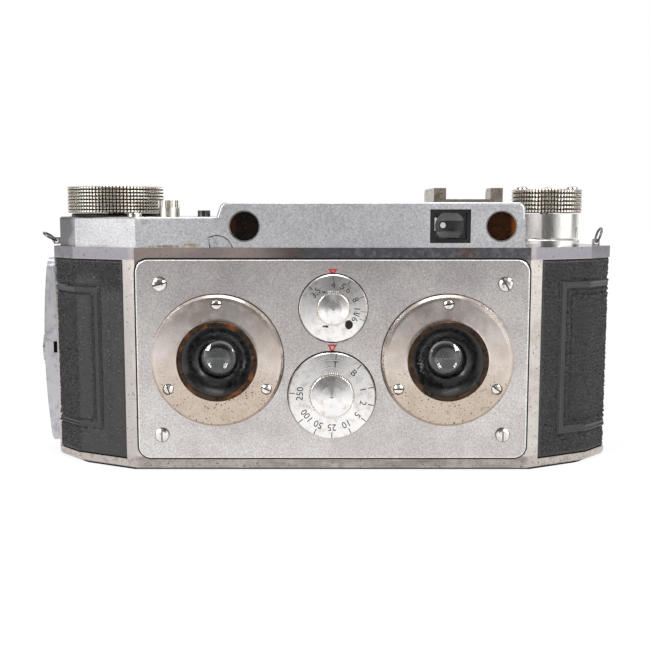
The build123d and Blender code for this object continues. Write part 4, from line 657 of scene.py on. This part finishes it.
def sheetOf(u, v, edge, rim, spec):
    # grain is 1 on top of a pebble and 0 in a crease, with large and small pebbles added; flat is 1 on the
    # band between two grooves, along the edge, and where the leather is worn; creases and frames sink the
    # sheet, and its rim is turned in
    large = smoothStep(pebbles(u, v, spec["cell"], spec["seed"]), 0.0, 0.55)
    small = smoothStep(pebbles(u, v, spec["cell"] * 0.45, spec["seed"] + 1), 0.0, 0.6)
    grain = 0.75 * large + 0.25 * small
    start, end = spec["band"]
    flat = smoothStep(edge, start, start + 0.4) * (1 - smoothStep(edge, end - 0.4, end))
    flat = np.maximum(0.85 * flat, 1 - spec["rough"](u, v))
    flat = np.maximum(flat, 1 - smoothStep(edge, *spec["pressed"]))
    lift = spec["relief"] * (grain - 1) * (1 - flat) - spec["sunk"]
    lift += pressedFrames(edge, spec["grooves"], spec["groove"])
    deep, wide = spec["turnedIn"]
    lift = np.minimum(lift, 0) - deep * (1 - smoothStep(rim, 0, wide))
    return lift, (1 - grain) * (1 - flat), flat


def leatherPanel(name, spec, material, node):
    # the outline in plan is walked by length u, and v runs up the panel; each point stands off the outline
    # along its outward normal by the sheet's lift
    lines = spec["outline"].T
    lengths = np.concatenate([[0], np.cumsum(np.hypot(*np.diff(lines)))])
    long, tall = lengths[-1], spec["high"] - spec["low"]
    u, v = np.meshgrid(*(np.linspace(0, side, int(side / spec["step"]) + 1) for side in (long, tall)),
                       indexing="ij")
    x, y = (np.interp(u, lengths, line) for line in lines)
    ahead, behind = (np.clip(u + step, 0, long) for step in (spec["bend"], -spec["bend"]))
    alongX, alongY = (np.interp(ahead, lengths, line) - np.interp(behind, lengths, line) for line in lines)
    size = np.hypot(alongX, alongY)
    normalX, normalY = spec["side"] * alongY / size, -spec["side"] * alongX / size
    edge = np.minimum(np.minimum(v, tall - v), spec["sideShare"] * u)
    lift, creaseShade, flat = sheetOf(u, v, edge, np.minimum(edge, long - u), spec)
    # painted shade: the pressed grooves join the creases that are coloured near black
    creaseShade = np.clip(creaseShade + (pressedFrames(edge, spec["grooves"], 1.0) < -0.4), 0, 1)
    points = np.stack([x + normalX * lift, y + normalY * lift, spec["low"] + v], axis=-1)
    corners, faces = meshFromGrid(points)
    if spec["side"] < 0:
        faces = faces[:, ::-1]
    addPiece(name, corners, faces, "camera_body", "leather", material, 80, merge=False, wall=0.6,
             replaces=[node], attributes={"creaseShade": creaseShade, "smooth": flat})


bodyPlan = {"frontHalf": 55.7, "facet": (75.4, 9.9), "corner": (83.0, 18.0), "end": (80.6, 30.0),
            "rear": (76.5, 40.0), "backward": -22.0}
leatherLow, leatherHigh = boxOf("leather_right")
innerX = leatherLow[0]
facetX, facetY = bodyPlan["facet"]
frontY = (innerX - bodyPlan["frontHalf"]) / (facetX - bodyPlan["frontHalf"]) * facetY
doorY = leatherHigh[1] - bodyPlan["backward"]
rearX, rearY = bodyPlan["rear"]
endX, endY = bodyPlan["end"]
doorX = endX + (doorY - endY) / (rearY - endY) * (rearX - endX)
rightPlan = np.array([(innerX, frontY), (facetX, facetY), bodyPlan["corner"], (endX, endY), (doorX, doorY)])
rightPlan += [0, bodyPlan["backward"]]
sheet = {"low": leatherLow[2], "high": leatherHigh[2], "bend": 0.7, "sunk": 0.2, "turnedIn": (0.3, 0.5),
         "pressed": (0.3, 1.3)}
leatherRight = {
    **sheet, "outline": rightPlan, "side": 1, "step": 0.25, "sideShare": 0.88,
    "grooves": ((6.1, 1.0), (8.7, 1.0), (10.2, 0.8)), "groove": 0.32, "band": (6.1, 8.7),
    "cell": 1.15, "relief": 0.42, "seed": 11, "rough": lambda u, v: np.ones_like(u),
}
leatherLeft = {
    **sheet, "outline": rightPlan[:3] * [-1, 1], "side": -1, "step": 0.22, "sideShare": 0.87,
    "grooves": ((4.8, 0.35), (7.7, 1.0), (10.0, 1.0)), "groove": 0.3, "band": (7.7, 10.0),
    "cell": 0.95, "relief": 0.4, "seed": 23,
    # rubbed smooth on the facet, with its grain left along the top edge and round the corner
    "rough": lambda u, v: np.clip(0.34 + smoothStep(u, 16.4, 18.4) + 0.6 * smoothStep(v, 51, 55)
                                  + smoothStep(v, 46, 52) * (1 - smoothStep(u, 5, 12)), 0, 1),
}
rightLeather = goatLeather("pebbledLeatherRight", "#111011", "#1d1c1d", 1.1, 0.19)
leftLeather = goatLeather("rubbedLeatherLeft", "#121112", "#1d1c1d", 0.95, 0.24)
backLeather = goatLeather("pebbledLeatherBack", "#131214", "#1f1e1f", 1.1, 0.26)
leatherPanel("leatherPanelRight", leatherRight, rightLeather, "leather_right")
leatherPanel("leatherPanelLeft", leatherLeft, leftLeather, "leather_left")

leatherBack = {"step": 0.5, "cell": 1.15, "relief": 0.22, "seed": 37, "grooves": ((5.5, 1.0), (8.0, 1.0)),
               "band": (5.5, 8.0), "groove": 0.22, "sunk": 0.0, "turnedIn": (0.4, 0.8), "pressed": (0.3, 1.3),
               "rough": lambda u, v: np.ones_like(u)}


def backPanel(spec):
    # a flat sheet in X and Z at the cover's rear face, moved along Y by the sheet's lift
    low, high = boxOf("back_leather")
    ends = [(low[k], high[k], int((high[k] - low[k]) / spec["step"]) + 1) for k in (0, 2)]
    x, z = np.meshgrid(*(np.linspace(*end) for end in ends), indexing="ij")
    u, v = x - low[0], z - low[2]
    edge = np.minimum(np.minimum(u, high[0] - x), np.minimum(v, high[2] - z))
    lift, creaseShade, flat = sheetOf(u, v, edge, edge, spec)
    corners, faces = meshFromGrid(np.stack([x, high[1] + lift, z], axis=-1))
    addPiece("leatherBackPanel", corners, faces[:, ::-1], "back", "leather", backLeather, 80, merge=False,
             wall=0.4, replaces=["back_leather"], attributes={"creaseShade": creaseShade, "smooth": flat})


backPanel(leatherBack)
print("leather")

lens = {
    "x": middleOf("lens_ring_right")[0], "z": middleOf("lens_ring_right")[2],
    "ringRadius": (ringHigh[0] - ringLow[0]) / 2, "bezelFront": boxOf("front_cells")[0][1],
    "boreRadius": 9.95, "glassRadius": 5.6, "coneDeep": 5.2, "glassFront": bodyPlan["backward"],
    "frontSag": 1.45, "glassThick": 4.4, "rearSag": 0.9,
}


def nameRing(centre, spec):
    # a bare black cone from the bezel down to the glass, with a shallow step near its foot
    front, bore, r = spec["bezelFront"], spec["boreRadius"], spec["glassRadius"]
    deep = spec["coneDeep"]
    profile = [(bore - 0.05, 0.35), (bore - 0.35, 0.6), (7.6, 2.55), (7.35, 2.95), (6.1, 3.9), (r + 0.1, 4.2),
               (r - 0.1, deep), (r + 0.4, deep + 0.1), (bore - 0.05, 0.75)]
    return revolved([(out, front + back) for out, back in profile + profile[:1]], centre, "y", 96)


def sphereCap(radius, sag, apex, outward, count=24):
    # profile of a spherical face from its middle to its rim; outward is -1 where it bulges to the front
    ball = (radius ** 2 + sag ** 2) / (2 * sag)
    r = np.linspace(0, radius, count)
    return np.stack([r, apex - outward * (ball - np.sqrt(ball ** 2 - r ** 2))], axis=1)


def frontGlass(centre, spec):
    # two spherical caps and a ground edge between them
    apex = spec["glassFront"]
    front = sphereCap(spec["glassRadius"], spec["frontSag"], apex, -1)
    rear = sphereCap(spec["glassRadius"], spec["rearSag"], apex + spec["glassThick"], 1)[::-1]
    return revolved(np.vstack([front, rear]), centre, "y", 96)


lensCentres = [(side * lens["x"], 0, lens["z"]) for side in (-1, 1)]
for label, centre in zip(("Left", "Right"), lensCentres):
    addPiece("nameRing" + label, *nameRing(centre, lens), "lens_carrier", "black_metal", enamel, 30)
glasses = joinMeshes([frontGlass(centre, lens) for centre in lensCentres])
addPiece("frontGlasses", *glasses, "lens_carrier", "lens_glass", glass, 40, replaces=["front_elements"])
print("lenses")

dialShape = {"face": boxOf("aperture_dial")[1][1] - 1.3,
             "aperture": {"radius": 9.6, "dome": 4.6, "teeth": 54},
             "speed": {"radius": 12.4, "dome": 6.2, "teeth": 76}}


def domeKnurl(centre, spec, face):
    # radius over turn and height: a low cone round the foot of the dial's dome, cut back at every other step
    turns = np.linspace(0, 2 * np.pi, spec["teeth"] * 4, endpoint=False)
    deep = np.tile([0.0, 0.0, 1.0, 1.0], spec["teeth"])
    profile = np.array([[-0.35, -0.66], [0.12, -0.6], [0.5, -0.02], [-0.2, 0.0]]) + [spec["dome"], face]
    cut = np.array([0.1, 0.55, 0.5, 0.0])
    grid = roundAxis(profile[:, 0] - cut * deep[:, None], profile[:, 1], turns, centre * [1, 0, 1], "y")
    return *meshFromGrid(grid, loopU=True, loopV=True), np.repeat(deep, len(profile))


dialCentres = {"aperture": apertureCentre, "speed": speedCentre}
for key, centre in dialCentres.items():
    points, faces, deep = domeKnurl(centre, dialShape[key], dialShape["face"])
    addPiece(key + "DialKnurl", points, faces, key + "_dial", "chrome", knobMetal, 20,
             attributes={"grooveDark": deep})


def textOutline(word, high):
    # one word as a flat mesh of the given height, centred on the origin
    curve = bpy.data.curves.new("word", "FONT")
    curve.body = word
    curve.offset = 0.001
    curve.align_x = "CENTER"
    curve.resolution_u = 3
    holder = inScene("word", curve)
    bpy.context.view_layer.update()
    mesh = bpy.data.meshes.new_from_object(holder.evaluated_get(bpy.context.evaluated_depsgraph_get()))
    work = bmesh.new()
    work.from_mesh(mesh)
    bmesh.ops.remove_doubles(work, verts=work.verts, dist=1e-5)
    bmesh.ops.triangulate(work, faces=work.faces)
    work.verts.ensure_lookup_table()
    points = np.array([v.co for v in work.verts])
    faces = np.array([[v.index for v in f.verts] for f in work.faces])
    work.free()
    bpy.data.objects.remove(holder)
    bpy.data.curves.remove(curve)
    bpy.data.meshes.remove(mesh)
    capHigh = 0.69
    points[:, 1] -= capHigh / 2
    return points * (high / capHigh), faces


def turnedMark(points, radius, turn, centre, face):
    # a flat mark standing at twelve o'clock at the given radius, then turned clockwise about the dial's axis
    angle = math.radians(turn)
    x, z = points[:, 0], points[:, 1] + radius
    across = x * math.cos(angle) + z * math.sin(angle)
    up = z * math.cos(angle) - x * math.sin(angle)
    return np.stack([centre[0] + across, np.full(len(x), face), centre[2] + up], axis=1)


def dialMarks(centre, spec):
    # every numeral and tick of one dial, each turned to its place
    parts = []
    square, halves = np.array([[-1, -1], [1, -1], [1, 1], [-1, 1]], float), np.array([[0, 1, 2], [0, 2, 3]])
    for word, turn in spec["words"]:
        points, faces = textOutline(word, spec["letterHigh"])
        parts.append((turnedMark(points, spec["wordRadius"], turn, centre, spec["face"]), faces))
        tick = square * [spec["tickWide"] / 2, spec["tickLong"] / 2]
        parts.append((turnedMark(tick, spec["tickRadius"], turn, centre, spec["face"]), halves))
    return joinMeshes(parts)


markFace = dialShape["face"] - 0.02
apertureMarks = {
    "words": [("3.5", -48), ("4", 0), ("5.6", 31), ("8", 68), ("11", 96), ("16", 111.5)],
    "face": markFace, "letterHigh": 1.75, "wordRadius": 6.7,
    "tickRadius": 8.5, "tickLong": 1.5, "tickWide": 0.15,
}
speedMarks = {
    "words": [("T", 6), ("B", 43), ("1", 78), ("2", 103), ("5", 127), ("10", 153), ("25", 180), ("50", 205),
              ("100", 231), ("250", 274)],
    "face": markFace, "letterHigh": 1.85, "wordRadius": 9.1,
    "tickRadius": 11.3, "tickLong": 1.6, "tickWide": 0.24,
}
for key, marks in (("aperture", apertureMarks), ("speed", speedMarks)):
    addPiece(key + "DialMarks", *dialMarks(dialCentres[key], marks), key + "_dial", "black_metal", blackPaint,
             merge=False, wall=0.03, wallSide=0)


def triangleOutline(x, top, bottom, wide, line, face):
    # a hollow triangle pointing down: three flat sides join the outer corners to the inner ones, drawn in by
    # the line's width over the distance from middle to side, 0.3 of the height
    outer = np.array([[-wide / 2, top], [wide / 2, top], [0, bottom]])
    middle = outer.mean(axis=0)
    inner = middle + (outer - middle) * (1 - line / ((top - bottom) * 0.30))
    flat = np.vstack([outer, inner])
    faces = np.array([[0, 1, 4, 3], [1, 2, 5, 4], [2, 0, 3, 5]])
    return np.stack([x + flat[:, 0], np.full(6, face), flat[:, 1]], axis=1), faces


plateFront = plateLow[1]
# X, top and bottom of each triangle, then their width, line width and face
indexMarks = {"upper": (ax - 0.15, 57.9, 55.9), "lower": (speedCentre[0] + 0.1, 36.5, 34.0),
              "size": (2.8, 0.42, plateFront - 0.02)}
parts = [triangleOutline(*indexMarks[key], *indexMarks["size"]) for key in ("upper", "lower")]
addPiece("indexTriangles", *joinMeshes(parts), "camera_body", "satin_chrome", redPaint, merge=False,
         wall=0.03, wallSide=0)
print("marks")


def plateLine(spec):
    # a thin closed band along a rounded rectangle: each station has an inner and an outer point, front and
    # back, and each corner is a quarter turn from the turn given
    (left, _, low), (right, _, high) = plateLow, plateHigh
    corners = ((right, high, 0), (left, high, 90), (left, low, 180), (right, low, 270))
    rings = []
    for offset in (-spec["under"], spec["wide"]):
        stations = []
        for x, z, start in corners:
            angles = np.radians(np.linspace(start, start + 90, spec["count"]))
            inX = x - math.copysign(spec["radius"], x)
            inZ = z - (spec["radius"] if z > lens["z"] else -spec["radius"])
            reach = spec["radius"] + offset
            stations.append(np.stack([inX + reach * np.cos(angles), inZ + reach * np.sin(angles)], axis=1))
        rings.append(np.vstack(stations))
    grid = np.stack(rings, axis=1)
    face = np.full((*grid.shape[:2], 1), bodyPlan["backward"] - spec["proud"])
    front = np.concatenate([grid[..., :1], face, grid[..., 1:]], axis=-1)
    back = front[:, ::-1] + [0, 0.8 * spec["proud"], 0]
    return meshFromGrid(np.concatenate([front, back], axis=1), loopU=True, loopV=True)


def flatRing(centre, inner, outer, front, thick):
    # a flat washer facing the front
    profile = [(inner, front), (outer, front), (outer, front + thick), (inner, front + thick)]
    return revolved(profile + profile[:1], centre, "y", 128)


# painted shade: black bands laid in the seam round the front plate, and round the foot of each ring and dial
seamShades = {"under": 0.1, "wide": 0.5, "radius": plateCorner, "count": 10, "proud": 0.06, "ringWide": 0.2}
addPiece("plateSeamShade", *plateLine(seamShades), "camera_body", "black_metal", seamShadeBlack, 30)
ringPlaces = [(centre, lens["ringRadius"] - 0.05, lens["ringRadius"] + seamShades["ringWide"])
              for centre in lensCentres]
for key, centre in dialCentres.items():
    radius = dialShape[key]["radius"]
    ringPlaces.append((centre * [1, 0, 1], radius - 0.3, radius + 1.4 * seamShades["ringWide"]))
parts = [flatRing(*place, plateFront - 0.04, 0.03) for place in ringPlaces]
addPiece("ringSeamShades", *joinMeshes(parts), "camera_body", "black_metal", seamShadeBlack, 30)

windowRim = {"inner": 4.05, "outer": 4.4, "front": boxOf("top_housing")[0][1] - 0.05, "thick": 0.05}
parts = [flatRing(middleOf(node) * [1, 0, 1], **windowRim) for node in ("window_left", "window_right")]
addPiece("windowRims", *joinMeshes(parts), "camera_body", "chrome", collarMetal, 30)
print("seamShades")


def backdropRays(tree):
    # 1 for a ray from the camera, and 1 for a ray that metal or glass sends on
    seen = addNode(tree, "LightPath", out="Is Camera Ray")
    mirrored = addNode(tree, "LightPath", out="Is Glossy Ray")
    through = addNode(tree, "LightPath", out="Is Transmission Ray")
    return seen, addNode(tree, "Math", {0: mirrored, 1: through}, operation="MAXIMUM")


# a white table in metres: it ends a little way in front, where metal shows the darker room instead
table = {"half": 3.0, "front": -0.5, "back": 3.0, "glow": 1.03, "shadowEnds": (0.13, 0.3), "whiteNear": 0.85}
floorMesh = bpy.data.meshes.new("floor")
corners = [(x, y, 0.0) for y in (table["front"], table["back"]) for x in (-table["half"], table["half"])]
floorMesh.from_pydata(corners, [], [(0, 1, 3, 2)])
floor = inScene("floor", floorMesh)
paper, tree, shader, where = newMaterial("whitePaper", Roughness=0.9, Base_Color=hexToLinear("#f4f4f4"))
# seen directly, in metal or through glass, the sheet glows white, a little less near the object's shadow
glow = addNode(tree, "Emission", {"Strength": table["glow"], "Color": (1, 1, 1, 1)})
anyRay = addNode(tree, "Math", dict(enumerate(backdropRays(tree))), operation="MAXIMUM")
away = addNode(tree, "VectorMath", {0: where}, out="Value", operation="LENGTH")
near, far = table["shadowEnds"]
white = addNode(tree, "MapRange", {"Value": away, "From Min": near, "From Max": far,
                                   "To Min": table["whiteNear"]}, **softly)
share = addNode(tree, "Math", {0: anyRay, 1: white}, operation="MULTIPLY")
blend = addNode(tree, "MixShader", {0: share, 1: shader.outputs[0], 2: glow})
tree.links.new(blend, tree.nodes["Material Output"].inputs["Surface"])
floorMesh.materials.append(paper)

# the room round the object: its level by turn, from straight in front (0.5) round to the back (0 and 1)
room = {
    "level": 1.65,
    "turns": [(0.0, 0.4), (0.10, 0.4), (0.16, 0.06), (0.265, 0.06), (0.295, 1.0), (0.375, 1.0), (0.41, 0.2),
              (0.46, 0.08), (0.53, 0.1), (0.56, 0.34), (0.60, 0.6), (0.64, 1.0), (0.735, 1.0), (0.76, 0.12),
              (0.84, 0.1), (0.90, 0.4)],
    "ceilingFront": 0.12, "ceilingTop": 0.75,
    # the rise of a ray between which each part gives way to the next
    "rise": (0.1, 0.4), "top": (0.55, 0.9), "behind": (0.35, 0.75),
}
world = bpy.data.worlds.new("studio")
bpy.context.scene.world = world
world.use_nodes = True
tree = world.node_tree
sky = tree.nodes["Background"]
direction = addNode(tree, "TexCoord", out="Generated")
toX, toY, toZ = (addNode(tree, "SeparateXYZ", {"Vector": direction}, out=k) for k in range(3))
forward = addNode(tree, "Math", {0: toY, 1: -1.0}, operation="MULTIPLY")
flat = addNode(tree, "CombineXYZ", {"X": forward, "Y": toX})
turn = addNode(tree, "TexGradient", {"Vector": flat}, out="Fac", gradient_type="RADIAL")
around = addNode(tree, "ValToRGB", {"Fac": turn}, stops=room["turns"])
level = addNode(tree, "Math", {0: around, 1: room["level"]}, operation="MULTIPLY")
rise, top, behind = (addNode(tree, "MapRange", {"Value": way, "From Min": low, "From Max": high}, **softly)
                     for way, (low, high) in ((toZ, room["rise"]), (toZ, room["top"]), (toY, room["behind"])))
front = addNode(tree, "Mix", {0: rise, 2: level, 3: room["ceilingFront"]}, data_type="FLOAT")
whole = addNode(tree, "Mix", {0: top, 2: front, 3: room["ceilingTop"]}, data_type="FLOAT")
# the white backdrop behind the object, for the camera and for what metal and glass show of it
seen, passed = backdropRays(tree)
white = addNode(tree, "Math", {0: seen, 1: overlap(tree, passed, behind)}, operation="MAXIMUM")
strength = addNode(tree, "Mix", {0: white, 2: whole, 3: 1.0}, data_type="FLOAT")
tree.links.new(strength, sky.inputs["Strength"])
sky.inputs["Color"].default_value = (1, 1, 1, 1)


def softbox(name, place, wide, tall, power):
    # a rectangular lamp that faces the middle of the object
    light = bpy.data.lights.new(name, "AREA")
    light.shape = "RECTANGLE"
    light.size, light.size_y = wide, tall
    light.energy = power
    holder = inScene(name, light)
    away = np.array(place) - (0, 0, 0.03)
    length = np.linalg.norm(away)
    holder.location = place
    holder.rotation_euler = (math.acos(away[2] / length), 0, math.atan2(away[1], away[0]) + math.pi / 2)


# name, place, width, height in metres, and watts
lamps = [
    ("softboxLeft", (-0.52, -0.55, 0.40), 0.26, 0.36, 3.3),
    ("softboxRight", (0.52, -0.55, 0.40), 0.26, 0.36, 3.3),
    ("softboxTop", (0.0, 0.05, 0.85), 0.6, 0.5, 3.0),
]
for lamp in lamps:
    softbox(*lamp)

view = {"lens": 53.67, "sensor": 36, "place": (-0.002115, -0.29406, 0.074175), "down": 6.76}
camera = bpy.data.cameras.new("camera")
camera.lens = view["lens"]
camera.sensor_width = view["sensor"]
camera.clip_start = 0.01
viewer = inScene("camera", camera)
viewer.location = view["place"]
viewer.rotation_euler = (math.radians(90 - view["down"]), 0, 0)
bpy.context.scene.camera = viewer
bpy.context.scene.view_settings.view_transform = "Standard"
print("stage")
